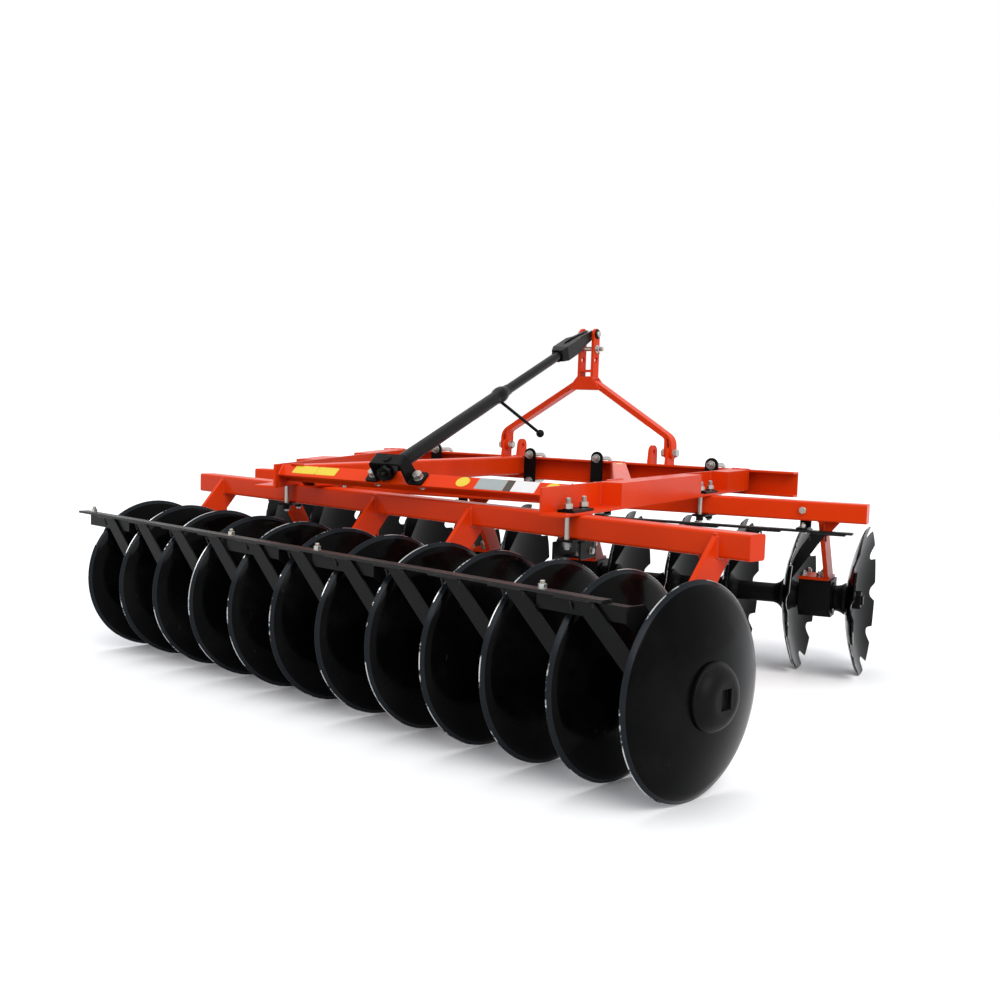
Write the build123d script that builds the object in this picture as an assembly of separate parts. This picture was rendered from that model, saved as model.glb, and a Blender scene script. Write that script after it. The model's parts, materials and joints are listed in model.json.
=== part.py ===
from build123d import *
from math import atan2, cos, degrees, hypot, radians, sin, sqrt, tan
import os

# A tractor-mounted offset disc harrow: two disc gangs, notched in front and plain behind, under a
# welded frame with a three-point hitch. Millimetres. +Z up, +Y forward to the tractor, +X to the
# machine's right. The origin is on the ground under the middle of the machine's box.
# While it is laid out, x = 0 is midway between the rear ends of the side members and y = 0 is
# close to those ends; the whole machine is moved to its origin at the end.

# ---- driving dimensions ----

# Longer than the machine in any direction from its layout origin
REACH = 3000.0

# Discs
DISC_D = 560.0
DISC_T = 5.0
DISH_DEPTH = 62.0
DISC_PITCH = 232.0
DISCS_PER_GANG = 12
SEAT_R = 60.0
NOTCHES = 12
NOTCH_W = 48.0
NOTCH_DEPTH = 32.0

# Axles, spools and bearings
AXLE_SQ = 32.0
FLANGE_T = 11.0
WAIST_R = 37.0
JOURNAL_R = 40.0
BORE_CLEARANCE = 0.05
SHOULDER_GAP = 8.0
HOUSING_L = 120.0
HOUSING_W = 136.0
HOUSING_TOP = 352.0
HOUSING_BOTTOM = 210.0
HOUSING_CHAMFER = 26.0
DOME_R = 88.0
DOME_T = 40.0
DOME_RIM = 9.0
DOME_FLAT_R = 36.0
RECESS = (40.0, 52.0, 12.0)
NUT_AF = 60.0
NUT_T = 34.0
WASHER_R = 58.0
WASHER_T = 12.0
THREAD_SPARE = 8.0

# Gangs: centre of the axle on the ground plan, and the turn of the axle from square across
REAR_CENTRE = (-49.0, -74.0)
REAR_ANGLE = -10.4
FRONT_CENTRE = (-237.0, 1329.0)
FRONT_ANGLE = 10.5

# Gang beams, in their gang's frame
BEAM = 70.0
BEAM_WALL = 6.0
BEAM_CORNER = 8.0
BEAM_BOTTOM = 590.0
BEAM_TOP = BEAM_BOTTOM + BEAM
BEAM_OFFSET = 246.0
BEAM_ENDS = (-1306.0, 1282.0)

# Legs: places along the axle in disc pitches
LEG_PLACES = (-5, -1, 1, 5)
LEG_T = 16.0
LEG_FACE = 22.0
LEG_W = 88.0
LEG_TILT = 40.0
FOOT_T = 12.0
GUSSET_W = 64.0
GUSSET_H = 78.0
GUSSET_T = 8.0
LEG_TOP = BEAM_TOP - 8.0
FOOT_INSET = 4.0
FOOT_Y = (-62.0, 80.0)

# Scrapers, in their gang's frame: both rails lie behind their axle
REAR_RAIL_Y = -212.0
REAR_RAIL_TOP = 515.0
REAR_RAIL_ENDS = (-1450.0, 1165.0)
FRONT_RAIL_Y = -268.0
FRONT_RAIL_TOP = 556.0
FRONT_RAIL_ENDS = (-1140.0, 1260.0)
RAIL_W = 40.0
RAIL_T = 8.0
ARM_H = 40.0
ARM_T = 6.0
ARM_ENDS = (-215.0, 75.0)
ARM_SETBACK = 10.0
HANGER_W = 40.0
HANGER_TOP = BEAM_TOP - 15.0
HANGER_PLACES = (-1082, -310, 310, 1082)
BLADE_W = 48.0
BLADE_T = 5.0
REAR_BLADE = {"lead": 175.0, "crossing": 154.0, "lean": 0.0, "setback": 4.5}
FRONT_BLADE = {"lead": 96.0, "crossing": 160.0, "lean": 35.0, "setback": 12.0}
BLADE_GAP = 6.0

# Main frame
MEMBER_H = 82.0
MEMBER_TOP = BEAM_TOP + MEMBER_H
FLANGE = 77.0
SECTION_T = 8.0
RHS_W = 60.0
RHS_H = 80.0
RHS_WALL = 5.0
CHANNEL_BOTTOM = 643.0
CHANNEL_FLANGE = 50.0
CHANNEL_REAR = 1660.0
CHANNEL_FRONT = CHANNEL_REAR + CHANNEL_FLANGE
CHANNEL_ENDS = (-1418.0, 679.0)

# Hitch
HITCH_X = -335.0
HITCH_BAR = 60.0
LUG_X = (338.0, 421.0)
LUG_T = 14.0
LUG_TOP = 819.0
LUG_HOLE_Z = 789.0
LINK_PIN_Z = 690.0
LINK_HOLE_R = 14.45
LINK_PIN_Y = 1810.0
MAST_Y = 1752.0
TOP_PIN_Z = 1295.0
TOP_PIN_R = 12.7
TOP_LINK_Z = 1181.0
TOP_LINK_R = 12.95
POST_X = 33.0
POST_T = 12.0
POST_TOP = 1319.0


def plate(outline, plane, thickness):
    """The closed outline drawn in the plane, thickened by half each side of it."""
    return extrude(plane * make_face(Polyline(*outline, close=True)), thickness / 2, both=True)


def side_plane(x):
    """The upright plane at x, drawn in y and z."""
    return Plane(origin=(x, 0, 0), x_dir=(0, 1, 0), z_dir=(1, 0, 0))


def upright_plane(y):
    """The upright plane at y, drawn in x and z."""
    return Plane(origin=(0, y, 0), x_dir=(1, 0, 0), z_dir=(0, -1, 0))


def bar(section, start, end):
    """The section run straight from start to end, its own y axis upright and its +x to the left."""
    run = Vector(*end) - Vector(*start)
    side = Vector(0, 0, 1).cross(run).normalized()
    return extrude(Plane(origin=start, x_dir=side, z_dir=run) * section, run.length)


def block(x, y, z):
    """A box from its low and high x, y and z."""
    size = [high - low for low, high in (x, y, z)]
    return Pos(*[(low + high) / 2 for low, high in (x, y, z)]) * Box(*size)


def rod(start, end, radius):
    """A round bar from start to end."""
    return Solid.make_cylinder(radius, (Vector(*end) - Vector(*start)).length,
                               Plane(origin=start, z_dir=Vector(*end) - Vector(*start)))


def hexagon(centre, axis, across_flats, thickness):
    """A hexagonal nut or head on the axis, from the centre of its near face."""
    sketch = RegularPolygon(across_flats / 2, 6, major_radius=False)
    return extrude(Plane(origin=centre, z_dir=axis) * sketch, thickness)


def tube_section(width, height, wall, corner):
    """A rectangular hollow section."""
    outside = RectangleRounded(width, height, corner)
    return outside - RectangleRounded(width - 2 * wall, height - 2 * wall, corner - wall + 1)


def gang_location(centre, angle):
    """The gang's frame: x along the axle, y forward, z up from the ground."""
    return Location((centre[0], centre[1], 0), (0, 0, angle))


# ---- discs, spools and axles, along x with their axis on z = 0 ----

SPHERE_R = ((DISC_D / 2) ** 2 + DISH_DEPTH ** 2) / (2 * DISH_DEPTH)
SEAT_SAG = SPHERE_R - sqrt(SPHERE_R ** 2 - SEAT_R ** 2)
SEAT_TO_RIM = DISH_DEPTH - SEAT_SAG
SEAT_INNER_X = SEAT_SAG - SPHERE_R + sqrt((SPHERE_R - DISC_T) ** 2 - SEAT_R ** 2)


def disc(notched):
    """One dished disc: its seat's outer face at x = 0, the dome to +x and the rim towards -x."""
    centre = SEAT_SAG - SPHERE_R
    inner_r = SPHERE_R - DISC_T

    def on_sphere(radius, r):
        return (centre + sqrt(radius ** 2 - r ** 2), r)

    rim = DISC_D / 2
    half = (SEAT_R + rim) / 2
    seat_inner = on_sphere(inner_r, SEAT_R)
    outline = [
        Line((0, 0), (0, SEAT_R)),
        ThreePointArc((0, SEAT_R), on_sphere(SPHERE_R, half), on_sphere(SPHERE_R, rim)),
        Line(on_sphere(SPHERE_R, rim), on_sphere(inner_r, rim)),
        ThreePointArc(on_sphere(inner_r, rim), on_sphere(inner_r, half), seat_inner),
        Line(seat_inner, (seat_inner[0], 0)),
        Line((seat_inner[0], 0), (0, 0)),
    ]
    body = revolve(make_face(outline), Axis.X)
    if notched:
        slot_floor = rim - NOTCH_DEPTH + NOTCH_W / 2
        slot = Circle(NOTCH_W / 2) + Pos(NOTCH_W / 2, 0) * Rectangle(NOTCH_W, NOTCH_W)
        tool = extrude(Plane.YZ * Pos(slot_floor, 0) * slot, DISC_D / 4, both=True)
        for i in range(NOTCHES):
            body -= Rot(X=360 / NOTCHES * i) * tool
    return body - Box(DISC_D, AXLE_SQ, AXLE_SQ)


def spool(length, carries_bearing):
    """A cast spool from x = 0 to its length, flanged at both ends, with a waist or a journal."""
    neck = SEAT_R * 0.8
    flare_end = (length - HOUSING_L) / 2 - SHOULDER_GAP
    if carries_bearing:
        waist = neck
        journal = [(flare_end, JOURNAL_R), (length - flare_end, JOURNAL_R)]
    else:
        waist = WAIST_R
        journal = []
    half = (FLANGE_T + flare_end) / 2
    belly = waist + (SEAT_R - waist) * 0.25
    stations = [(flare_end, waist), *journal, (length - flare_end, waist)]
    outline = [
        Polyline((0, 0), (0, SEAT_R), (FLANGE_T, SEAT_R)),
        ThreePointArc((FLANGE_T, SEAT_R), (half, belly), stations[0]),
        Polyline(*stations),
        ThreePointArc(stations[-1], (length - half, belly), (length - FLANGE_T, SEAT_R)),
        Polyline((length - FLANGE_T, SEAT_R), (length, SEAT_R), (length, 0), (0, 0)),
    ]
    body = revolve(make_face(outline), Axis.X)
    return body - Box(4 * length, AXLE_SQ, AXLE_SQ)


def end_dome():
    """The domed cast washer outside the last disc, from x = 0: a rim, a rounded rise and a flat."""
    rise = (DOME_RIM, DOME_R - 2), ((DOME_RIM + DOME_T) / 2 + 7, (DOME_R + DOME_FLAT_R) / 2 + 7)
    outline = [
        Polyline((0, 0), (0, DOME_R), (DOME_RIM - 2, DOME_R), rise[0]),
        ThreePointArc(*rise, (DOME_T, DOME_FLAT_R)),
        Polyline((DOME_T, DOME_FLAT_R), (DOME_T, 0), (0, 0)),
    ]
    return revolve(make_face(outline), Axis.X)


def half_gang(first, notched):
    """Six discs on one square axle, named by piece, for the rear gang's way round."""
    rims = [(first + i - (DISCS_PER_GANG - 1) / 2) * DISC_PITCH for i in range(DISCS_PER_GANG // 2)]
    seats = [rim + SEAT_TO_RIM for rim in rims]
    bearing_gaps = (0, len(seats) - 2)
    pattern = disc(notched)
    length = DISC_PITCH + SEAT_INNER_X
    spools = [spool(length, False), spool(length, True)]
    left = seats[0] + SEAT_INNER_X
    right = seats[-1]
    washer = rod((left - WASHER_T, 0, 0), (left, 0, 0), WASHER_R)
    nut = hexagon((left - WASHER_T - NUT_T, 0, 0), (1, 0, 0), NUT_AF, NUT_T)
    dome = Pos(right, 0, 0) * end_dome()
    recess = Pos(right + DOME_T, 0, 0) * Box(2 * RECESS[2], RECESS[0], RECESS[1])
    axle_end = right + DOME_T - RECESS[2]
    square = (-AXLE_SQ / 2, AXLE_SQ / 2)
    axle = block((left - WASHER_T - NUT_T - THREAD_SPARE, axle_end), square, square)
    return {
        "discs": [Pos(seat, 0, 0) * pattern for seat in seats],
        "spools": [Pos(x, 0, 0) * spools[i in bearing_gaps] for i, x in enumerate(seats[:-1])],
        "axle": [axle + nut + (washer - axle) + (dome - recess - axle)],
    }


# ---- legs and bearing housings, in the rear gang's frame ----

BEARING_SHIFT = SEAT_TO_RIM + SEAT_INNER_X / 2


def leg(x):
    """A slanting plate from the beam down to its bearing, with a foot and a gusset."""
    tilt = radians(LEG_TILT)
    rear = BEAM_OFFSET - BEAM / 2
    top = LEG_TOP
    front = rear + LEG_W / cos(tilt) - (top - BEAM_BOTTOM) * tan(tilt)
    foot_top = HOUSING_TOP + FOOT_T
    outline = [
        (rear, top),
        (rear - (top - foot_top) * tan(tilt), foot_top),
        (front - (BEAM_BOTTOM - foot_top) * tan(tilt), foot_top),
        (front, BEAM_BOTTOM),
        (rear, BEAM_BOTTOM),
    ]
    middle = x + LEG_FACE - LEG_T / 2
    body = plate(outline, side_plane(middle), LEG_T)
    foot = block((x + FOOT_INSET, x + HOUSING_L - FOOT_INSET), FOOT_Y, (HOUSING_TOP, foot_top))
    corner = [
        (middle, BEAM_BOTTOM),
        (middle - GUSSET_W, BEAM_BOTTOM),
        (middle, BEAM_BOTTOM - GUSSET_H),
    ]
    gusset = plate(corner, upright_plane(BEAM_OFFSET - BEAM / 4), GUSSET_T)
    return body + foot + gusset


def housing(x):
    """A cast bearing block round the spool's journal."""
    half = HOUSING_W / 2
    low = HOUSING_BOTTOM
    shoulder = low + HOUSING_CHAMFER
    outline = [
        (-half, HOUSING_TOP),
        (-half, shoulder),
        (HOUSING_CHAMFER - half, low),
        (half - HOUSING_CHAMFER, low),
        (half, shoulder),
        (half, HOUSING_TOP),
    ]
    centre = side_plane(x + BEARING_SHIFT)
    axle_z = DISC_D / 2
    bore = rod((x - DISC_PITCH, 0, axle_z), (x + DISC_PITCH, 0, axle_z), JOURNAL_R + BORE_CLEARANCE)
    return plate(outline, centre, HOUSING_L) - bore


# ---- scrapers, in their gang's frame ----

def blade(rim, side, rail_y, rail_bottom, shape):
    """A strip from under the rail to the hollow face of the disc whose rim is at x = rim.

    The disc bulges towards side. The strip starts lead before the rim's plane, passes it crossing
    further down, leans forward by lean degrees and stops BLADE_GAP short of the disc's sphere.
    """
    lead, crossing = shape["lead"], shape["crossing"]
    lean = radians(shape["lean"])
    top = rim - side * lead
    foot = rim + side * lead
    half = BLADE_W / 2 * hypot(lead, crossing) / crossing
    low = -2 * crossing
    outline = [(top - half, 0), (top + half, 0), (foot + half, low), (foot - half, low)]
    rear = rail_y - RAIL_W / 2 + shape["setback"]
    facing = (0, -cos(lean), -sin(lean))
    plane = Plane(origin=(0, rear, rail_bottom), x_dir=(1, 0, 0), z_dir=facing)
    centre = Pos(rim + side * (DISH_DEPTH - SPHERE_R), 0, DISC_D / 2)
    strip = plate(outline, plane, BLADE_T) & centre * Sphere(SPHERE_R - DISC_T - BLADE_GAP)
    return strip & block((-REACH, REACH), (-REACH, REACH), (0, rail_bottom))


def rail(ends, y, top):
    """The flat bar that carries a gang's scraper blades."""
    return block(ends, (y - RAIL_W / 2, y + RAIL_W / 2), (top - RAIL_T, top))


def rear_scraper_arm(x):
    """An angle under the rail and a stay from it down to the foot of the leg at x."""
    top = REAR_RAIL_TOP - RAIL_T
    rear = REAR_RAIL_Y - RAIL_W / 2 + ARM_SETBACK
    span = (x + ARM_ENDS[0], x + ARM_ENDS[1])
    wall = block(span, (rear, rear + ARM_T), (top - ARM_H, top))
    shelf = block(span, (rear, REAR_RAIL_Y + RAIL_W / 2), (top - ARM_T, top))
    foot_rear = FOOT_Y[0]
    foot_top = HOUSING_TOP + FOOT_T
    outline = [
        (rear, top),
        (rear, top - ARM_H),
        (foot_rear, foot_top),
        (foot_rear + HOUSING_W / 2, foot_top),
        (rear + HOUSING_W / 2, top),
    ]
    return wall + shelf + plate(outline, side_plane(span[1] - ARM_T / 2), ARM_T)


def front_scraper_hanger(x):
    """A strap on the forward face of the front beam, bent rearward over the rail."""
    beam_face = -BEAM_OFFSET + BEAM / 2
    span = (x - HANGER_W / 2, x + HANGER_W / 2)
    low = FRONT_RAIL_TOP
    strap = block(span, (beam_face, beam_face + RAIL_T), (low, HANGER_TOP))
    foot = block(span, (FRONT_RAIL_Y - RAIL_W / 2, beam_face), (low, low + RAIL_T))
    return strap + foot


# ---- main frame, in the machine's layout frame ----

RIGHT_WEB = ((615.0, -109.0), (413.0, CHANNEL_REAR))
LEFT_WEB = ((-560.0, 40.0), (-1285.0, CHANNEL_REAR))
RIGHT_BOXES = ((420.0, 1180.0), (1490.0, REACH))
LEFT_BOXES = ((430.0, 760.0), (1180.0, REACH))
ANGLE_APEX = (110.0, 741.0)
ANGLE_LIP = (68.0, 705.0)
ANGLE_LEG = 75.0
INNER_MEMBER = ((-520.0, 100.0), (-630.0, CHANNEL_REAR))
DIAGONAL_MEMBER = ((555.0, 486.0), (-110.0, CHANNEL_REAR))
CLAMP_W = 44.0
CLAMP_PLATE = (51.0, 16.0, 8.0)
STUD_R = 8.0
STUD_NUT_AF = 24.0
STUD_NUT_T = 13.0
STUD_SPARE = 22.0
STUD_MARGIN = 18.0


def member_frame(web):
    """The frame of a side member: y along it from its rear end, +x to the right."""
    (x0, y0), (x1, y1) = web
    return Location((x0, y0, 0), (0, 0, degrees(atan2(x0 - x1, y1 - y0))))


def side_member(web, side, boxes):
    """A channel open outward, its top flange and outer plate only where it is boxed."""
    (x0, y0), (x1, y1) = web
    length = hypot(x1 - x0, y1 - y0) + FLANGE
    body = block((0, SECTION_T), (0, length), (BEAM_TOP, MEMBER_TOP))
    body += block((0, FLANGE), (0, length), (BEAM_TOP, BEAM_TOP + SECTION_T))
    for start, end in boxes:
        end = min(end, length)
        body += block((0, FLANGE), (start, end), (BEAM_TOP, MEMBER_TOP))
        inside = (BEAM_TOP + SECTION_T, MEMBER_TOP - SECTION_T)
        body -= block((SECTION_T, FLANGE - SECTION_T), (start + SECTION_T, end - SECTION_T), inside)
    if side < 0:
        body = mirror(body, about=Plane.YZ)
    return (member_frame(web) * body) & behind_channel()


def behind_channel():
    """The space behind the front channel."""
    return block((-REACH, REACH), (-REACH, CHANNEL_REAR), (0, REACH))


def between_webs():
    """The space between the two side members and behind the front channel."""
    outline = [RIGHT_WEB[0], RIGHT_WEB[1], LEFT_WEB[1], LEFT_WEB[0]]
    return extrude(Plane.XY * make_face(Polyline(*outline, close=True)), REACH)


def rear_angle():
    """The rear cross member: an angle with its apex up and its wide face up and rearward."""
    apex = Vector(*ANGLE_APEX)
    lip = Vector(*ANGLE_LIP)
    up = (apex - lip).normalized()
    down = Vector(up.Y, -up.X)
    far = apex + down * ANGLE_LEG
    inner = [far - up * SECTION_T, apex + down * SECTION_T - up * SECTION_T, lip + down * SECTION_T]
    outline = [(p.X, p.Y) for p in (lip, apex, far, *inner)]
    return plate(outline, side_plane(0), 2 * REACH) & between_webs()


def inner_member():
    """The left fore-and-aft tube, cut to the slope of the rear cross member."""
    middle = MEMBER_TOP - RHS_H / 2
    (x0, y0), (x1, y1) = INNER_MEMBER
    body = bar(tube_section(RHS_W, RHS_H, RHS_WALL, BEAM_CORNER), (x0, y0, middle), (x1, y1, middle))
    up = Vector(0, ANGLE_APEX[0] - ANGLE_LIP[0], ANGLE_APEX[1] - ANGLE_LIP[1])
    slope = Plane(origin=(0, *ANGLE_APEX), z_dir=up)
    return split(body, bisect_by=slope, keep=Keep.TOP) & behind_channel()


def diagonal_member():
    """The tube from the right side member to the middle of the front channel."""
    middle = MEMBER_TOP - RHS_H / 2
    start = Vector(*DIAGONAL_MEMBER[0], middle)
    end = Vector(*DIAGONAL_MEMBER[1], middle)
    spare = (end - start).normalized() * RHS_H * 2
    section = tube_section(RHS_W, RHS_H, RHS_WALL, BEAM_CORNER)
    return bar(section, tuple(start - spare), tuple(end + spare)) & between_webs()


def front_channel():
    """The front cross member: a channel open rearward."""
    body = block(CHANNEL_ENDS, (CHANNEL_REAR, CHANNEL_FRONT), (CHANNEL_BOTTOM, MEMBER_TOP))
    inside = (CHANNEL_BOTTOM + SECTION_T, MEMBER_TOP - SECTION_T)
    return body - block(CHANNEL_ENDS, (CHANNEL_REAR, CHANNEL_FRONT - SECTION_T), inside)


# ---- clamps: two studs each, astride a gang beam, through the bottom flange of a side member ----

def clamp_centre(web, side, gang):
    """Where the line of a side member's studs crosses a gang beam, and half the studs' spacing."""
    centre, angle, beam_y = gang
    turn = radians(angle)
    across = Vector(cos(turn), sin(turn))
    forward = Vector(-sin(turn), cos(turn))
    on_beam = Vector(*centre) + forward * beam_y
    start = Vector(*web[0])
    along = (Vector(*web[1]) - start).normalized()
    start += Vector(along.Y, -along.X) * side * CLAMP_W
    reach = (on_beam - start).dot(forward) / along.dot(forward)
    half = (BEAM / 2 + STUD_MARGIN) / along.dot(forward)
    return Location(tuple(start + along * reach), (0, 0, degrees(atan2(-along.X, along.Y)))), half


def clamp_plates(place, half):
    """The plates above the flange and below the beam, with their stud holes."""
    width, margin, thick = CLAMP_PLATE
    span = ((-width / 2, width / 2), (-half - margin, half + margin))
    seat = BEAM_TOP + SECTION_T
    plates = [block(*span, (seat, seat + thick)), block(*span, (BEAM_BOTTOM - thick, BEAM_BOTTOM))]
    holes = stud_holes(half)
    return [place * (p - holes) for p in plates]


def stud_holes(half):
    """Both studs' bores as one tool, in the clamp's own frame."""
    return rod((0, -half, 0), (0, -half, REACH), STUD_R) + rod((0, half, 0), (0, half, REACH), STUD_R)


def clamp_studs(place, half):
    """Two studs with a nut at each end."""
    thick = CLAMP_PLATE[2]
    top = BEAM_TOP + SECTION_T + thick
    bottom = BEAM_BOTTOM - thick
    studs = []
    for y in (-half, half):
        body = rod((0, y, bottom - STUD_SPARE), (0, y, top + STUD_NUT_T + STUD_SPARE), STUD_R)
        body += hexagon((0, y, top), (0, 0, 1), STUD_NUT_AF, STUD_NUT_T)
        body += hexagon((0, y, bottom - STUD_NUT_T), (0, 0, 1), STUD_NUT_AF, STUD_NUT_T)
        studs.append(place * body)
    return studs


# ---- hitch: bar, lugs, U-bolts and the mast ----

HITCH_BAR_ENDS = (-1180.0, 420.0)
HITCH_BAR_Z = (662.0, 722.0)
STRAP_X = (-1093.0, -563.0, -217.0, 326.0)
STRAP_W = 57.0
STRAP_T = 8.0
STRAP_Z = (612.0, 782.0)
U_BOLT_R = 9.0
U_BEND_R = 30.0
U_NUT_AF = 27.0
U_NUT_T = 15.0
U_SPARE = 14.0
U_PLAY = 2.0
LUG_REAR = 1712.0
LUG_FRONT = 1848.0
LUG_BOTTOM = 640.0
LUG_PIN_R = 10.0
LUG_STEP = 16.0
LUG_NOSE = (25.0, 10.0)
BOLT_AF = 30.0
BOLT_HEAD_T = 12.0
BOLT_NUT_T = 14.0
BOLT_SPARE = 6.0
ARM_BAR = (10.0, 50.0)
ARM_KNEE_Z = 852.0
ARM_HEAD = (40.0, 1082.0)
GUSSET_Z = (1050.0, 1109.0)
GUSSET_HALF = (83.0, 33.0)
POST_BOTTOM = 1056.0
LOWER_PIN_Z = 1230.0
LOWER_PIN_R = 10.0
CROSS_PLATE_Z = 1128.0
PIN_HEAD = (18.0, 8.0)


def ribbon(path, low, high):
    """The outline between two parallels of an open path, mitred at its corners."""
    points = [Vector(*p) for p in path]
    runs = [(b - a).normalized() for a, b in zip(points, points[1:])]
    normals = [Vector(-run.Y, run.X) for run in runs]
    sides = []
    for i, point in enumerate(points):
        before = normals[max(i - 1, 0)]
        after = normals[min(i, len(normals) - 1)]
        mitre = (before + after) / (1 + before.dot(after))
        sides.append((point, mitre))
    left = [point + mitre * high for point, mitre in sides]
    right = [point + mitre * low for point, mitre in reversed(sides)]
    return [(p.X, p.Y) for p in left + right]


def hitch_bar():
    """The closed square tube that carries the lugs in front of the channel."""
    span = (CHANNEL_FRONT, CHANNEL_FRONT + HITCH_BAR)
    body = block(HITCH_BAR_ENDS, span, HITCH_BAR_Z)
    wall = BEAM_WALL
    inside = [(low + wall, high - wall) for low, high in (HITCH_BAR_ENDS, span, HITCH_BAR_Z)]
    return body - block(*inside)


def hitch_lug(x):
    """An upright plate over the front of the hitch bar, bored for the arm bolt and the lower link's pin."""
    top = HITCH_BAR_Z[1]
    head = LUG_TOP - LUG_HOLE_Z
    outline = [
        (LUG_REAR, top),
        (MAST_Y - head, LUG_HOLE_Z),
        (MAST_Y + head, LUG_HOLE_Z),
        (MAST_Y + head, top + LUG_STEP),
        (LUG_FRONT, top - LUG_STEP),
        (LUG_FRONT, LINK_PIN_Z - LUG_NOSE[0]),
        (LINK_PIN_Y + LUG_NOSE[1], LUG_BOTTOM),
        (CHANNEL_FRONT + HITCH_BAR, LUG_BOTTOM),
        (CHANNEL_FRONT + HITCH_BAR, top),
    ]
    low, high = x - LUG_T / 2, x + LUG_T / 2
    body = plate(outline, side_plane(x), LUG_T)
    body += rod((low, MAST_Y, LUG_HOLE_Z), (high, MAST_Y, LUG_HOLE_Z), head)
    for y, z, radius in ((MAST_Y, LUG_HOLE_Z, LUG_PIN_R), (LINK_PIN_Y, LINK_PIN_Z, LINK_HOLE_R)):
        body -= rod((low, y, z), (high, y, z), radius)
    return body


def strap(x):
    """A round-topped plate across the open side of the channel."""
    bottom, top = STRAP_Z
    half = STRAP_W / 2
    plane = upright_plane(CHANNEL_REAR - STRAP_T / 2)
    body = block((x - half, x + half), (CHANNEL_REAR - STRAP_T, CHANNEL_REAR), (bottom, top - half))
    body += extrude(plane * (Pos(x, top - half) * Circle(half)), STRAP_T / 2, both=True)
    for z in u_bolt_heights():
        body -= rod((x, 0, z), (x, 2 * CHANNEL_REAR, z), U_BOLT_R)
    return body


def u_bolt_heights():
    """The heights of a U-bolt's two legs: they clear the channel by a millimetre."""
    return CHANNEL_BOTTOM - U_BOLT_R - 1, MEMBER_TOP + U_BOLT_R + 1


def u_bolt(x):
    """A rod round the front of the hitch bar and back through the strap, with two nuts."""
    front = CHANNEL_FRONT + HITCH_BAR + U_BOLT_R + U_PLAY
    nut_face = CHANNEL_REAR - STRAP_T
    rear = nut_face - U_NUT_T - U_SPARE
    low, high = u_bolt_heights()
    corners = [(x, rear, low), (x, front, low), (x, front, high), (x, rear, high)]
    path = FilletPolyline(*corners, radius=U_BEND_R)
    body = sweep(Plane(origin=(x, rear, low), z_dir=(0, 1, 0)) * Circle(U_BOLT_R), path)
    for z in (low, high):
        body += hexagon((x, nut_face, z), (0, -1, 0), U_NUT_AF, U_NUT_T)
    return body


def mast_arm(side):
    """Two flat bars astride the outer lug, upright at first and then leaning in to the mast."""
    thick, width = ARM_BAR
    lug_x = LUG_X[1]
    path = [(HITCH_X + side * x, z) for x, z in ((lug_x, LUG_HOLE_Z), (lug_x, ARM_KNEE_Z), ARM_HEAD)]
    outside = POST_X + POST_T / 2
    outside_posts = block((-REACH, REACH), (0, REACH), (0, REACH))
    outside_posts -= block((HITCH_X - outside, HITCH_X + outside), (0, REACH), (0, REACH))
    holes = rod((-REACH, MAST_Y, LUG_HOLE_Z), (REACH, MAST_Y, LUG_HOLE_Z), LUG_PIN_R)
    bars = []
    for low in (LUG_T / 2, -LUG_T / 2 - thick):
        body = plate(ribbon(path, low, low + thick), upright_plane(MAST_Y), width)
        x = path[0][0] - low
        eye = rod((x - thick, MAST_Y, LUG_HOLE_Z), (x, MAST_Y, LUG_HOLE_Z), width / 2)
        bars.append(((body + eye) & outside_posts) - holes)
    return bars


def arm_bolt(side):
    """The bolt that holds an arm's two bars to the lug."""
    reach = LUG_T / 2 + ARM_BAR[0]
    x = HITCH_X + side * LUG_X[1]
    y, z = MAST_Y, LUG_HOLE_Z
    end = x - reach - BOLT_NUT_T
    body = rod((end - BOLT_SPARE, y, z), (x + reach + BOLT_HEAD_T, y, z), LUG_PIN_R)
    body += hexagon((x + reach, y, z), (1, 0, 0), BOLT_AF, BOLT_HEAD_T)
    return body + hexagon((end, y, z), (1, 0, 0), BOLT_AF, BOLT_NUT_T)


def mast_post(side):
    """One of the two flat uprights, bored for two pins and the top link, with a rounded head."""
    half = ARM_BAR[1] / 2
    x = HITCH_X + side * POST_X
    low, high = x - POST_T / 2, x + POST_T / 2
    body = block((low, high), (MAST_Y - half, MAST_Y + half), (POST_BOTTOM, POST_TOP - half))
    body += rod((low, MAST_Y, POST_TOP - half), (high, MAST_Y, POST_TOP - half), half)
    for z, radius in ((TOP_PIN_Z, TOP_PIN_R), (LOWER_PIN_Z, LOWER_PIN_R), (TOP_LINK_Z, TOP_LINK_R)):
        body -= rod((low, MAST_Y, z), (high, MAST_Y, z), radius)
    return body


def mast_gussets():
    """The trapezoid plates before and behind the joint of arms and posts, and the cross plate."""
    low, high = GUSSET_Z
    wide, narrow = GUSSET_HALF
    outline = [
        (HITCH_X - wide, low),
        (HITCH_X + wide, low),
        (HITCH_X + narrow, high),
        (HITCH_X - narrow, high),
    ]
    thick = ARM_BAR[0]
    offset = (ARM_BAR[1] + thick) / 2
    plates = [plate(outline, upright_plane(MAST_Y + dy), thick) for dy in (-offset, offset)]
    half = POST_X - POST_T / 2
    depth = ARM_BAR[1] / 2
    cross = block((HITCH_X - half, HITCH_X + half), (MAST_Y - depth, MAST_Y + depth),
                  (CROSS_PLATE_Z, CROSS_PLATE_Z + thick))
    return [*plates, cross]


# ---- brace from the rear cross member to the top of the mast ----

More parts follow.
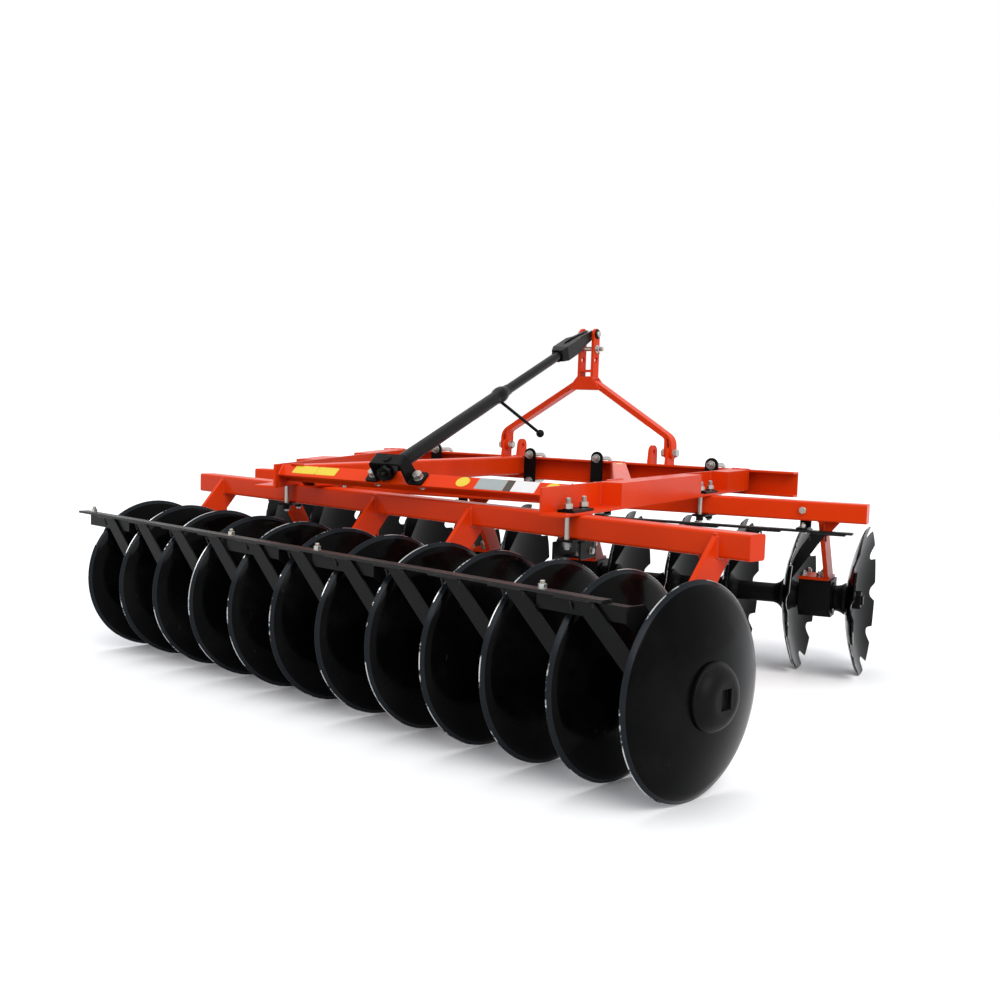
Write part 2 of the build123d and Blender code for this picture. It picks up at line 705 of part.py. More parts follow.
BRACKET_X = -85.0
BRACKET_W = 133.0
BRACKET_Y = (52.0, 150.0)
BRACKET_TOP = 796.0
BRACKET_T = 8.0
FOOT_REACH = 50.0
BRACE_START = (BRACKET_X, 40.0, 733.0)
BRACE_END = (HITCH_X, MAST_Y, TOP_PIN_Z)
BRACE_ROD_R = 13.0
BRACE_LOWER_R = 25.0
BRACE_UPPER_R = 19.0
BRACE_JOINT = 0.49
BRACE_OVERLAP = 100.0
BRACE_TAPER = 70.0
TUBE_START = 0.085
BRACE_NUT = (0.006, 46.0, 20.0)
YOKE_START = 0.80
YOKE_NECK = 24.0
YOKE_SHOULDER = 40.0
YOKE_HALF = (34.0, 21.0)
YOKE_HEIGHT = (60.0, 34.0)
YOKE_SLOT = 10.0
YOKE_SLOT_START = 70.0
YOKE_SLOT_SQUARE = 110.0
MAST_WASHER = 4.0
PIN_END = 26.0
HANDLE_T = 0.47
HANDLE_R = 6.0
HANDLE_RUN = (195.0, 15.0, -128.0)
HANDLE_GAP = 4.0
KNOB_R = 15.0
TRUNNION_R = 24.0
PLUG_R = 20.0
PLUG_T = 5.0
FOOT_T_RATIO = 1.4


def along_brace(t, sideways=0.0, up=0.0):
    """A point on the brace's axis, t from its rear end, moved sideways and upward of it."""
    start, end = Vector(*BRACE_START), Vector(*BRACE_END)
    run = (end - start).normalized()
    side = run.cross(Vector(0, 0, 1)).normalized()
    return start + (end - start) * t + side * sideways + side.cross(run) * up


def brace_length():
    """The length of the brace from its rear end to the mast's top pin."""
    return (Vector(*BRACE_END) - Vector(*BRACE_START)).length


def brace_plane(t):
    """The plane square to the brace at t, x level to the right and y upward."""
    run = along_brace(1) - along_brace(0)
    side = run.cross(Vector(0, 0, 1)).normalized()
    return Plane(origin=along_brace(t), x_dir=side, z_dir=run)


def brace_bracket():
    """A hat bracket on the sloping face of the rear cross member."""
    slope = (ANGLE_APEX[1] - ANGLE_LIP[1]) / (ANGLE_APEX[0] - ANGLE_LIP[0])
    rear, front = BRACKET_Y
    half = BRACKET_W / 2
    apex_y, apex_z = ANGLE_APEX
    rear_z = ANGLE_LIP[1] + (rear - ANGLE_LIP[0]) * slope
    under = BRACKET_TOP - BRACKET_T
    over = BRACKET_T * FOOT_T_RATIO
    wall = [(rear, rear_z), (apex_y, apex_z), (front, apex_z), (front, BRACKET_TOP), (rear, BRACKET_TOP)]
    roof = [(rear, under), (front, under), (front, BRACKET_TOP), (rear, BRACKET_TOP)]
    foot = [(rear, rear_z), (apex_y, apex_z), (apex_y, apex_z + over), (rear, rear_z + over)]
    body = plate(roof, side_plane(BRACKET_X), BRACKET_W)
    for side in (-1, 1):
        body += plate(wall, side_plane(BRACKET_X + side * (half - BRACKET_T / 2)), BRACKET_T)
        body += plate(foot, side_plane(BRACKET_X + side * (half + FOOT_REACH / 2)), FOOT_REACH)
    y = (rear + front) / 2
    return body + rod((BRACKET_X, y, BRACKET_TOP), (BRACKET_X, y, BRACKET_TOP + PLUG_T), PLUG_R)


def brace_trunnion():
    """The upright swivel block inside the bracket and the threaded rod through it, with its nut."""
    y = sum(BRACKET_Y) / 2
    low = ANGLE_APEX[1] + 1
    body = rod((BRACKET_X, y, low), (BRACKET_X, y, BRACKET_TOP - BRACKET_T), TRUNNION_R)
    body += rod(tuple(along_brace(0)), tuple(along_brace(TUBE_START)), BRACE_ROD_R)
    place, across_flats, thick = BRACE_NUT
    nut = RegularPolygon(across_flats / 2, 6, major_radius=False)
    return body + extrude(brace_plane(place) * nut, thick)


def brace_tube_lower():
    """The larger tube, with a tapered end where the smaller one enters."""
    overlap = BRACE_OVERLAP / brace_length()
    mouth = along_brace(BRACE_JOINT + 2 * BRACE_TAPER / brace_length())
    body = rod(tuple(along_brace(TUBE_START)), tuple(along_brace(BRACE_JOINT)), BRACE_LOWER_R)
    taper = Solid.make_cone(BRACE_LOWER_R, BRACE_UPPER_R + 2, BRACE_TAPER, brace_plane(BRACE_JOINT))
    bore = rod(tuple(along_brace(BRACE_JOINT - overlap)), tuple(mouth), BRACE_UPPER_R)
    return body + taper - bore


def brace_tube_upper():
    """The smaller tube, from inside the larger one to the yoke."""
    start = along_brace(BRACE_JOINT - BRACE_OVERLAP / brace_length())
    return rod(tuple(start), tuple(along_brace(YOKE_START)), BRACE_UPPER_R)


def brace_yoke():
    """The forked head between the mast posts on the top pin, tapering forward both ways."""
    reach = (1 - YOKE_START) * brace_length()
    wide, narrow = YOKE_HALF
    tall, low = YOKE_HEIGHT
    start = brace_plane(YOKE_START)
    plan = Plane(origin=start.origin, x_dir=start.x_dir, z_dir=-start.y_dir)
    across = [
        (-YOKE_NECK, 0),
        (YOKE_NECK, 0),
        (wide, YOKE_SHOULDER),
        (wide, reach / 2),
        (narrow, reach / 2 + YOKE_SHOULDER),
        (narrow, reach + tall),
        (-narrow, reach + tall),
        (-narrow, reach / 2 + YOKE_SHOULDER),
        (-wide, reach / 2),
        (-wide, YOKE_SHOULDER),
    ]
    side = Plane(origin=start.origin, x_dir=start.z_dir, z_dir=start.x_dir)
    profile = [
        (0, -YOKE_NECK),
        (YOKE_SHOULDER, -tall / 2),
        (reach / 2, -tall / 2),
        (reach, -low / 2),
        (reach, low / 2),
        (reach / 2, tall / 2),
        (YOKE_SHOULDER, tall / 2),
        (0, YOKE_NECK),
    ]
    gap = [
        (0, YOKE_SLOT_START),
        (YOKE_SLOT, YOKE_SLOT_SQUARE),
        (YOKE_SLOT, reach + tall),
        (-YOKE_SLOT, reach + tall),
        (-YOKE_SLOT, YOKE_SLOT_SQUARE),
    ]
    x, y, z = BRACE_END
    body = plate(profile, side, 2 * wide) + rod((x - narrow, y, z), (x + narrow, y, z), low / 2)
    body = (body & plate(across, plan, 2 * tall)) - plate(gap, plan, 2 * tall)
    return body - rod((x - REACH, y, z), (x + REACH, y, z), TOP_PIN_R)


def brace_handle():
    """The tommy bar across the joint, hanging to the right with a knob."""
    start = along_brace(HANDLE_T)
    knob = start + Vector(*HANDLE_RUN)
    near = start + Vector(*HANDLE_RUN).normalized() * (BRACE_LOWER_R + HANDLE_GAP)
    body = rod(tuple(near), tuple(knob), HANDLE_R)
    return body + Pos(*tuple(knob)) * Sphere(KNOB_R)


def mast_pin(z, radius, spare):
    """A pin across the posts with a washer at each and a head at the left, its right end bare."""
    outside = POST_X + POST_T / 2
    low, high = HITCH_X - outside, HITCH_X + outside
    head, thick = PIN_HEAD
    body = rod((low - MAST_WASHER, MAST_Y, z), (high + MAST_WASHER + spare, MAST_Y, z), radius)
    body += rod((low - MAST_WASHER, MAST_Y, z), (low, MAST_Y, z), head)
    body += rod((high, MAST_Y, z), (high + MAST_WASHER, MAST_Y, z), head)
    return body + hexagon((low - MAST_WASHER - thick, MAST_Y, z), (1, 0, 0), BOLT_AF, thick)


# ---- assembly ----

def gang_beam():
    """The closed square tube over a gang, in the rear gang's frame."""
    span = (BEAM_OFFSET - BEAM / 2, BEAM_OFFSET + BEAM / 2)
    section = Pos(BEAM_OFFSET, BEAM_BOTTOM + BEAM / 2) * RectangleRounded(BEAM, BEAM, BEAM_CORNER)
    outside = extrude(side_plane(BEAM_ENDS[0]) * section, BEAM_ENDS[1] - BEAM_ENDS[0])
    extents = (BEAM_ENDS, span, (BEAM_BOTTOM, BEAM_TOP))
    return outside - block(*[(low + BEAM_WALL, high - BEAM_WALL) for low, high in extents])


REAR = gang_location(REAR_CENTRE, REAR_ANGLE)
FRONT = gang_location(FRONT_CENTRE, FRONT_ANGLE)
TURNED = Location((0, 0, 0), (0, 0, 180))
REAR_BEAM = (REAR_CENTRE, REAR_ANGLE, BEAM_OFFSET)
FRONT_BEAM = (FRONT_CENTRE, FRONT_ANGLE, -BEAM_OFFSET)
RIM_PLACES = [(i - (DISCS_PER_GANG - 1) / 2) * DISC_PITCH for i in range(DISCS_PER_GANG)]
LEG_X = [place * DISC_PITCH for place in LEG_PLACES]

nodes = {}

# Both gangs' carriers: the front gang is the rear gang turned half way round
for end, place in (("rear", REAR), ("front", FRONT * TURNED)):
    nodes[f"gang_beam_{end}"] = [place * gang_beam()]
    nodes[f"gang_legs_{end}"] = [place * leg(x) for x in LEG_X]
    nodes[f"bearing_housings_{end}"] = [place * housing(x) for x in LEG_X]

# The four turning half gangs; turned round, the front ones change sides
AXLE_HEIGHT = Location((0, 0, DISC_D / 2))
half_gangs = (("rear", REAR, ("left", "right")), ("front", FRONT * TURNED, ("right", "left")))
for end, place, sides in half_gangs:
    for side, first in zip(sides, (0, DISCS_PER_GANG // 2)):
        for name, solids in half_gang(first, end == "front").items():
            nodes[f"{name}_{end}_{side}"] = [place * AXLE_HEIGHT * solid for solid in solids]

# Scrapers
nodes["scraper_rail_rear"] = [REAR * rail(REAR_RAIL_ENDS, REAR_RAIL_Y, REAR_RAIL_TOP)]
nodes["scraper_rail_front"] = [FRONT * rail(FRONT_RAIL_ENDS, FRONT_RAIL_Y, FRONT_RAIL_TOP)]
nodes["scraper_stays_rear"] = [REAR * rear_scraper_arm(x) for x in LEG_X]
nodes["scraper_hangers_front"] = [FRONT * front_scraper_hanger(x) for x in HANGER_PLACES]
nodes["scraper_blades_rear"] = [
    REAR * blade(rim, 1, REAR_RAIL_Y, REAR_RAIL_TOP - RAIL_T, REAR_BLADE) for rim in RIM_PLACES[1:]
]
nodes["scraper_blades_front"] = [
    FRONT * blade(rim, -1, FRONT_RAIL_Y, FRONT_RAIL_TOP - RAIL_T, FRONT_BLADE) for rim in RIM_PLACES[:-1]
]

# Main frame and its clamps
nodes["front_channel"] = [front_channel()]
nodes["rear_cross_member"] = [rear_angle()]
nodes["inner_member"] = [inner_member()]
nodes["diagonal_member"] = [diagonal_member()]
clamps = {
    side: [clamp_centre(web, sign, gang) for gang in (REAR_BEAM, FRONT_BEAM)]
    for side, web, sign in (("right", RIGHT_WEB, 1), ("left", LEFT_WEB, -1))
}
sides = (("right", RIGHT_WEB, 1, RIGHT_BOXES), ("left", LEFT_WEB, -1, LEFT_BOXES))
for side, web, sign, boxes in sides:
    member = side_member(web, sign, boxes)
    for place, half in clamps[side]:
        member -= place * stud_holes(half)
    nodes[f"side_member_{side}"] = [member]
all_clamps = clamps["right"] + clamps["left"]
nodes["clamp_plates"] = [p for place, half in all_clamps for p in clamp_plates(place, half)]
nodes["clamp_studs"] = [stud for place, half in all_clamps for stud in clamp_studs(place, half)]

# Hitch and brace
nodes["hitch_bar"] = [hitch_bar()]
nodes["hitch_lugs"] = [hitch_lug(HITCH_X + side * x) for side in (-1, 1) for x in LUG_X]
nodes["channel_straps"] = [strap(x) for x in STRAP_X]
nodes["u_bolts"] = [u_bolt(x) for x in STRAP_X]
nodes["mast_arms"] = [piece for side in (-1, 1) for piece in mast_arm(side)]
nodes["mast_posts"] = [mast_post(side) for side in (-1, 1)]
nodes["mast_gussets"] = mast_gussets()
nodes["hitch_pins"] = [
    *[arm_bolt(side) for side in (-1, 1)],
    mast_pin(TOP_PIN_Z, TOP_PIN_R, PIN_HEAD[1]),
    mast_pin(LOWER_PIN_Z, LOWER_PIN_R, PIN_END),
]
nodes["brace_bracket"] = [brace_bracket()]
nodes["brace_rod"] = [brace_trunnion()]
nodes["brace_tube_lower"] = [brace_tube_lower()]
nodes["brace_upper"] = [brace_tube_upper() + brace_yoke()]
nodes["brace_handle"] = [brace_handle()]

# The origin goes on the ground under the middle of the machine's box
box = Compound(children=[Compound(children=solids) for solids in nodes.values()]).bounding_box()
middle = box.center()
to_origin = Location((-middle.X, -middle.Y, 0))
print("layout origin in the machine's frame:", [round(v, 4) for v in (-middle.X, -middle.Y, 0)])
print("size:", box.size, "lowest:", round(box.min.Z, 4))

os.makedirs("parts", exist_ok=True)
for name, solids in nodes.items():
    pieces = [to_origin * piece for solid in solids for piece in solid.solids()]
    export_step(Compound(children=pieces) if len(pieces) > 1 else pieces[0], f"parts/{name}.step")
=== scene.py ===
import json
from math import atan2, cos, hypot, pi, radians, sin, sqrt
import bpy
import bmesh
import numpy as np
from mathutils import Matrix, Vector


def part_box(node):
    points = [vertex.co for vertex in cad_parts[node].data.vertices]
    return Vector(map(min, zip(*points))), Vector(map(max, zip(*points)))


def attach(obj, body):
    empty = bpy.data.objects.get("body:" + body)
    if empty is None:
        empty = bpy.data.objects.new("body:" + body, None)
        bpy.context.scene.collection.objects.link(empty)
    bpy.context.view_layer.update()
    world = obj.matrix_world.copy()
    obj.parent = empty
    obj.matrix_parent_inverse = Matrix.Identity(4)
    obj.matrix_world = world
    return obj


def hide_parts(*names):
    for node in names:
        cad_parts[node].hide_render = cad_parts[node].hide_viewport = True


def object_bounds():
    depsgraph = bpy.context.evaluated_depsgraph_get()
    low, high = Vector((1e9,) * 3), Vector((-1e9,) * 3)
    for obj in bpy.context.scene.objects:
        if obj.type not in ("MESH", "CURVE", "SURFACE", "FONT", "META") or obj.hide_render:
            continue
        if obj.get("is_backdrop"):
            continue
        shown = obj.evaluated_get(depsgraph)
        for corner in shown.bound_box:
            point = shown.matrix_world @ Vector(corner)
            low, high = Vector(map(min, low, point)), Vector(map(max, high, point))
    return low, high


# A tractor-mounted offset disc harrow. Metres; +Z up, +Y forward to the tractor, +X to its right.

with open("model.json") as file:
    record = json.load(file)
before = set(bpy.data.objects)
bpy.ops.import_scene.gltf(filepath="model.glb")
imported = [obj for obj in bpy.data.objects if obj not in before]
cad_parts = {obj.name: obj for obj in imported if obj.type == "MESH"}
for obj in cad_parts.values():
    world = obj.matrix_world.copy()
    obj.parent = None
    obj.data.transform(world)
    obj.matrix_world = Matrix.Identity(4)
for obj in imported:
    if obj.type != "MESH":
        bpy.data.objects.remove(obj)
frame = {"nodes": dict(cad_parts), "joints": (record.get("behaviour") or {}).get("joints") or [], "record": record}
cad_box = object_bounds()

# ---- where things are ----

# The layout frame has x = 0 midway between the rear ends of the side members and y = 0 close to
# those ends. The front channel's low corner gives its place in the machine's own frame.
CHANNEL_REAR = 1.660
CHANNEL_LOW = Vector((-1.418, CHANNEL_REAR, 0.643))
LAYOUT = np.array(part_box("front_channel")[0] - CHANNEL_LOW)

# Discs: parts of spherical shells, seated on their spools
DISC_R, DISC_T, DISH = 0.280, 0.005, 0.062
PITCH, DISCS = 0.232, 12
SEAT_R = 0.060
SPHERE_R = (DISC_R ** 2 + DISH ** 2) / (2 * DISH)
SEAT_SAG = SPHERE_R - sqrt(SPHERE_R ** 2 - SEAT_R ** 2)
SEAT_INNER = SEAT_SAG - SPHERE_R + sqrt((SPHERE_R - DISC_T) ** 2 - SEAT_R ** 2)
SEAT_TO_RIM = DISH - SEAT_SAG
NOTCHES, NOTCH_R, NOTCH_DEPTH, NOTCH_FLARE = 10, 0.024, 0.036, radians(55)
RIMS = [(i - (DISCS - 1) / 2) * PITCH for i in range(DISCS)]

# Gang beams, legs and frame, each in its gang's or the layout frame
BEAM_LOW, BEAM_TOP, BEAM = 0.590, 0.660, 0.070
BEAM_Y = 0.246
LEG_X = [PITCH * place for place in (-5, -1, 1, 5)]
FOOT_TOP = 0.364
MEMBER_TOP, FLANGE_TOP = 0.742, 0.668


def frame_of(origin, x=(1, 0, 0), y=(0, 1, 0), z=(0, 0, 1)):
    """A frame as a 4 by 4 array: its axes are columns, its origin the last one."""
    place = np.eye(4)
    place[:3, :4] = np.array([x, y, z, origin], float).T
    return place


def gang_frame(joint, reverse=False):
    """A gang's frame on the ground: x along its axle or, turned half round, against it."""
    x, y, _ = joint["axis"]
    x, y = (-x, -y) if reverse else (x, y)
    px, py, _ = joint["pos_m"]
    return frame_of((px, py, 0), (x, y, 0), (-y, x, 0))


spins = {joint["child"]: joint for joint in frame["joints"]}
REAR = gang_frame(spins["gang_rear_left"])
FRONT = gang_frame(spins["gang_front_left"], reverse=True)
FRONT_STRAIGHT = gang_frame(spins["gang_front_left"])
PLACE = frame_of(LAYOUT)


def put(points, place):
    """Points of any array shape, moved by a frame."""
    return points @ place[:3, :3].T + place[:3, 3]


def lifted(place, x=0.0, y=0.0, z=0.0):
    """A frame moved along its own axes."""
    return place @ frame_of((x, y, z))


def unit(vectors):
    """Vectors over their own lengths."""
    return vectors / np.linalg.norm(vectors, axis=-1, keepdims=True)


def along(start, end):
    """The frame at start with z towards end and x level; where z is upright, x is square to y."""
    start, end = np.array(start, float), np.array(end, float)
    z = unit(end - start)
    x = np.cross((0, 0, 1), z)
    if np.linalg.norm(x) < 1e-6:
        x = np.cross((0, 1, 0), z)
    x = unit(x)
    return frame_of(start, x, np.cross(z, x), z)


# ---- finishes: shader maths as expressions ----

class Value:
    """A socket of a finish, on which arithmetic adds Math nodes."""

    def __init__(self, finish, socket):
        self.finish = finish
        self.socket = socket

    def maths(self, operation, *terms):
        return self.finish.node("Math", {"operation": operation}, dict(enumerate(terms)))

    def __add__(self, other):
        return self.maths("ADD", self, other)

    def __sub__(self, other):
        return self.maths("SUBTRACT", self, other)

    def __rsub__(self, other):
        return self.maths("SUBTRACT", other, self)

    def __mul__(self, other):
        return self.maths("MULTIPLY", self, other)

    __radd__ = __add__
    __rmul__ = __mul__

    def between(self, low, high):
        """0 at low, 1 at high, smooth between."""
        settings = {"interpolation_type": "SMOOTHSTEP"}
        return self.finish.node("MapRange", settings, {0: self, 1: low, 2: high})


class Finish:
    """The nodes of one procedural material, or of the world."""

    def __init__(self, owner):
        self.material = bpy.data.materials.new(owner) if isinstance(owner, str) else owner
        self.material.use_nodes = True
        self.tree = self.material.node_tree
        self.tree.nodes.clear()

    def node(self, kind, settings=None, inputs=None, output=0):
        """A node of a type: its settings first, then values or links into its sockets."""
        made = self.tree.nodes.new("ShaderNode" + kind)
        for name, value in (settings or {}).items():
            setattr(made, name, value)
        for name, value in (inputs or {}).items():
            if isinstance(value, Value):
                self.tree.links.new(value.socket, made.inputs[name])
            else:
                made.inputs[name].default_value = value
        return Value(self, made.outputs[output]) if made.outputs else None

    def place(self):
        """The point in the piece's own frame."""
        return self.node("TexCoord", output="Object")

    def noise(self, where, scale, detail, rough=0.5):
        """Smooth noise from 0 to 1, scale patches to the metre."""
        inputs = {"Vector": where, "Scale": scale, "Detail": detail, "Roughness": rough}
        return self.node("TexNoise", {}, inputs)

    def stretched(self, where, x, y, z):
        """A place scaled along each axis."""
        return self.node("VectorMath", {"operation": "MULTIPLY"}, {0: where, 1: (x, y, z)})

    def mix(self, factor, low, high):
        """One colour over another."""
        settings = {"data_type": "RGBA"}
        return self.node("Mix", settings, {0: factor, 6: low, 7: high}, output=2)

    def bump(self, height, strength, distance, normal=None):
        """The normal over a height, on top of another normal if one is given."""
        inputs = {"Height": height, "Strength": strength, "Distance": distance}
        if normal is not None:
            inputs["Normal"] = normal
        return self.node("Bump", {}, inputs)

    def rounded(self, radius):
        """The normal of edges eased by radius."""
        return self.node("Bevel", {"samples": 4}, {"Radius": radius})

    def seen_only(self):
        """1 on camera, glossy and transmission rays, 0 on the light that falls on the machine."""
        rays = [self.node("LightPath", output=kind)
                for kind in ("Is Camera Ray", "Is Glossy Ray", "Is Transmission Ray")]
        return rays[0] + rays[1] + rays[2]

    def shade(self, **inputs):
        """A Principled shader with its sockets set or linked; the finished material."""
        names = {name.replace("_", " "): value for name, value in inputs.items()}
        shader = self.node("BsdfPrincipled", {}, names)
        self.node("OutputMaterial", {}, {"Surface": shader})
        return self.material


def colour(red, green, blue):
    return (red, green, blue, 1.0)


def orange_paint(name, edge):
    """Glossy orange-red paint with orange peel, faint dust and slightly matt patches."""
    paint = Finish(name)
    where = paint.place()
    cloud = paint.noise(where, 2.3, 4.0)
    dust = paint.noise(where, 38.0, 5.0, 0.65)
    peel = paint.noise(where, 420.0, 2.0)
    wave = paint.noise(where, 26.0, 2.0)
    deep, light = colour(0.62, 0.033, 0.0016), colour(0.69, 0.042, 0.0026)
    base = paint.mix(cloud.between(0.3, 0.7), deep, light)
    base = paint.mix(dust.between(0.66, 0.90) * 0.16, base, colour(0.54, 0.11, 0.05))
    normal = paint.rounded(edge) if edge else None
    normal = paint.bump(peel * 0.35 + wave * 0.65, 0.10, 0.0016, normal)
    return paint.shade(Base_Color=base, Roughness=dust * 0.16 + cloud * 0.08 + 0.20,
                       Specular_IOR_Level=0.08, Coat_Weight=0.03, Coat_Roughness=0.10, Normal=normal)


def weld_paint():
    """The same paint over the ripples and pits of a weld bead."""
    paint = Finish("weld_paint")
    where = paint.place()
    pits = paint.noise(where, 650.0, 3.0, 0.6)
    deep, light = colour(0.52, 0.027, 0.0026), colour(0.68, 0.044, 0.0040)
    base = paint.mix(pits.between(0.35, 0.75), deep, light)
    return paint.shade(Base_Color=base, Roughness=pits * 0.2 + 0.22, Specular_IOR_Level=0.30,
                       Coat_Weight=0.08, Normal=paint.bump(pits, 0.4, 0.0012))


def disc_black():
    """Semi-gloss black on rolled steel: turning marks, smears, scratches, a ground band coloured blue-grey as a
    painted reflection of the sky, a bare edge.

    The attribute rim is 0 on the faces, a half on the ground band and 1 on the edge.
    """
    steel = Finish("disc_black")
    where = steel.place()
    polar = steel.node("UVMap", {"uv_map": "polar"})
    rim = steel.node("Attribute", {"attribute_name": "rim"}, output="Fac")
    band, edge = rim.between(0.1, 0.45), rim.between(0.6, 0.95)
    cloud = steel.noise(where, 5.0, 5.0, 0.6)
    rings = steel.noise(steel.stretched(polar, 90.0, 2.0, 1.0), 1.0, 3.0)
    grain = steel.noise(where, 260.0, 3.0, 0.6)
    nicks = steel.noise(steel.stretched(where, 1.0, 1.0, 0.22), 75.0, 2.0, 0.7)
    scratch = nicks.between(0.735, 0.76)
    film = cloud.between(0.40, 0.72)
    chips = steel.noise(where, 70.0, 3.0, 0.7)
    worn = (steel.noise(where, 6.5, 2.0) * 0.75 + chips * 0.25).between(0.495, 0.54)
    bare = edge * worn
    black, smeared = colour(0.0010, 0.0010, 0.0011), colour(0.0040, 0.0037, 0.0036)
    base = steel.mix(film, black, smeared)
    base = steel.mix(scratch * 0.22, base, colour(0.06, 0.06, 0.06))
    # the ground band is a real bevel, but its blue-grey base colour is a painted reflection of the sky
    base = steel.mix(band * 0.85, base, colour(0.0150, 0.0180, 0.0215))
    base = steel.mix(bare, base, colour(0.50, 0.50, 0.50))
    rough = film * 0.16 + rings * 0.04 + grain * 0.03 + band * 0.08 + 0.09
    height = rings * 0.35 + grain * 0.25 + cloud * 0.4
    return steel.shade(Base_Color=base, Roughness=rough, Metallic=bare * 0.6 + band * 0.25,
                       Specular_IOR_Level=0.045, Normal=steel.bump(height, 0.10, 0.0014))


def black_paint(name, edge, level, rough, grain_scale, depth):
    """Black paint: matt patches, a little dust, and the grain of what is under it."""
    paint = Finish(name)
    where = paint.place()
    cloud = paint.noise(where, 14.0, 4.0, 0.6)
    grain = paint.noise(where, grain_scale, 4.0, 0.6)
    dust = (cloud * 0.6 + grain * 0.4).between(0.50, 0.72)
    clean = colour(level, level, level * 1.08)
    dusty = colour(level * 2.4, level * 2.3, level * 2.2)
    normal = paint.rounded(edge) if edge else None
    return paint.shade(Base_Color=paint.mix(dust, clean, dusty),
                       Roughness=cloud * 0.16 + dust * 0.12 + rough, Specular_IOR_Level=0.08,
                       Normal=paint.bump(grain, depth, 0.0015, normal))


def rail_steel():
    """Thin brown-black paint worn through along the rail in streaks."""
    bar = Finish("rail_steel")
    where = bar.place()
    streak = bar.noise(bar.stretched(where, 1.0, 3.0, 6.0), 22.0, 5.0, 0.65)
    pits = bar.noise(where, 240.0, 4.0, 0.7)
    worn = (streak * 0.6 + pits * 0.4).between(0.50, 0.64)
    base = bar.mix(worn, colour(0.0068, 0.0067, 0.0069), colour(0.036, 0.029, 0.026))
    normal = bar.bump(streak * 0.5 + pits * 0.5, 0.3, 0.0012, bar.rounded(0.0015))
    return bar.shade(Base_Color=base, Roughness=worn * 0.2 + 0.36, Metallic=worn * 0.3,
                     Specular_IOR_Level=0.16, Normal=normal)


def zinc(name, edge):
    """Bright zinc plate with a faint blue and straw bloom."""
    plate = Finish(name)
    where = plate.place()
    bloom = plate.noise(where, 55.0, 3.0)
    grain = plate.noise(where, 520.0, 3.0, 0.6)
    blue, straw = colour(0.44, 0.46, 0.47), colour(0.50, 0.47, 0.40)
    base = plate.mix(bloom.between(0.35, 0.65), blue, straw)
    base = plate.mix(grain.between(0.60, 0.80) * 0.5, base, colour(0.20, 0.19, 0.17))
    normal = plate.rounded(edge) if edge else None
    return plate.shade(Base_Color=base, Metallic=0.9, Roughness=grain * 0.18 + bloom * 0.1 + 0.22,
                       Normal=plate.bump(grain, 0.15, 0.0006, normal))


def label_film(name, tint):
    """Blank film: even colour, a little gloss, faint dust and lifted ripples."""
    film = Finish(name)
    where = film.place()
    dust = film.noise(where, 90.0, 4.0, 0.6)
    ripple = film.noise(where, 32.0, 2.0)
    dull = [0.80 * part for part in tint]
    base = film.mix(dust.between(0.45, 0.85) * 0.7, colour(*tint), colour(*dull))
    return film.shade(Base_Color=base, Roughness=dust * 0.18 + 0.26,
                      Normal=film.bump(ripple, 0.12, 0.0008))


# the smooth ones go on pieces whose edges are eased in their mesh
ORANGE = orange_paint("orange_paint", 0.0035)
ORANGE_SMOOTH = orange_paint("orange_paint_smooth", 0)
WELD = weld_paint()
DISC_BLACK = disc_black()
CAST_BLACK = black_paint("cast_black", 0.003, level=0.0038, rough=0.34, grain_scale=170.0, depth=0.34)
PLATE_BLACK = {"level": 0.0040, "rough": 0.26, "grain_scale": 320.0, "depth": 0.16}
BLACK = black_paint("black_paint", 0.002, **PLATE_BLACK)
BLACK_SMOOTH = black_paint("black_paint_smooth", 0, **PLATE_BLACK)
RAIL = rail_steel()
ZINC = zinc("zinc", 0)
ZINC_EASED = zinc("zinc_eased", 0.001)
YELLOW_FILM = label_film("yellow_film", (0.70, 0.52, 0.02))
GREY_FILM = label_film("grey_film", (0.30, 0.33, 0.33))
WHITE_FILM = label_film("white_film", (0.70, 0.69, 0.68))
DARK_FILM = label_film("dark_film", (0.035, 0.032, 0.020))


# ---- surfaces ----

class Surfaces:
    """Grids of points gathered into one piece."""

    def __init__(self):
        self.points = []
        self.faces = []
        self.polar = []
        self.rim = []
        self.count = 0

    def add(self, grid, place=PLACE, polar=None, rim=None):
        """A surface of rows and columns of points; a closed one repeats its first column.

        polar and rim are optional numbers at each point.
        """
        rows, columns = grid.shape[:2]
        index = self.count + np.arange(rows * columns).reshape(rows, columns)
        faces = np.stack([index[:-1, :-1], index[:-1, 1:], index[1:, 1:], index[1:, :-1]], -1)
        self.points.append(put(grid, place).reshape(-1, 3))
        self.faces.append(faces.reshape(-1, 4))
        blank = np.zeros((rows, columns, 2))
        self.polar.append((blank if polar is None else polar).reshape(-1, 2))
        self.rim.append((blank[:, :, 0] if rim is None else rim).reshape(-1))
        self.count += rows * columns

    def piece(self, name, material, slot=None, body="frame", replaces=(), sharp=38.0):
        """One object from all the grids, its seams and poles closed and its faces outward."""
        mesh = bpy.data.meshes.new(name)
        faces = np.concatenate(self.faces)
        mesh.from_pydata(np.concatenate(self.points), [], faces.tolist())
        uv = mesh.uv_layers.new(name="polar")
        uv.data.foreach_set("uv", np.concatenate(self.polar)[faces.reshape(-1)].reshape(-1))
        rim = mesh.attributes.new("rim", "FLOAT", "POINT")
        rim.data.foreach_set("value", np.concatenate(self.rim).astype(np.float32))
        shell = bmesh.new()
        shell.from_mesh(mesh)
        bmesh.ops.remove_doubles(shell, verts=shell.verts, dist=2e-6)
        bmesh.ops.recalc_face_normals(shell, faces=shell.faces)
        shell.to_mesh(mesh)
        shell.free()
        mesh.polygons.foreach_set("use_smooth", np.ones(len(mesh.polygons), bool))
        mesh.set_sharp_from_angle(angle=radians(sharp))
        mesh.materials.append(material)
        made = bpy.data.objects.new(name, mesh)
        bpy.context.scene.collection.objects.link(made)
        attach(made, body)
        if replaces:
            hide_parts(*replaces)
        return made


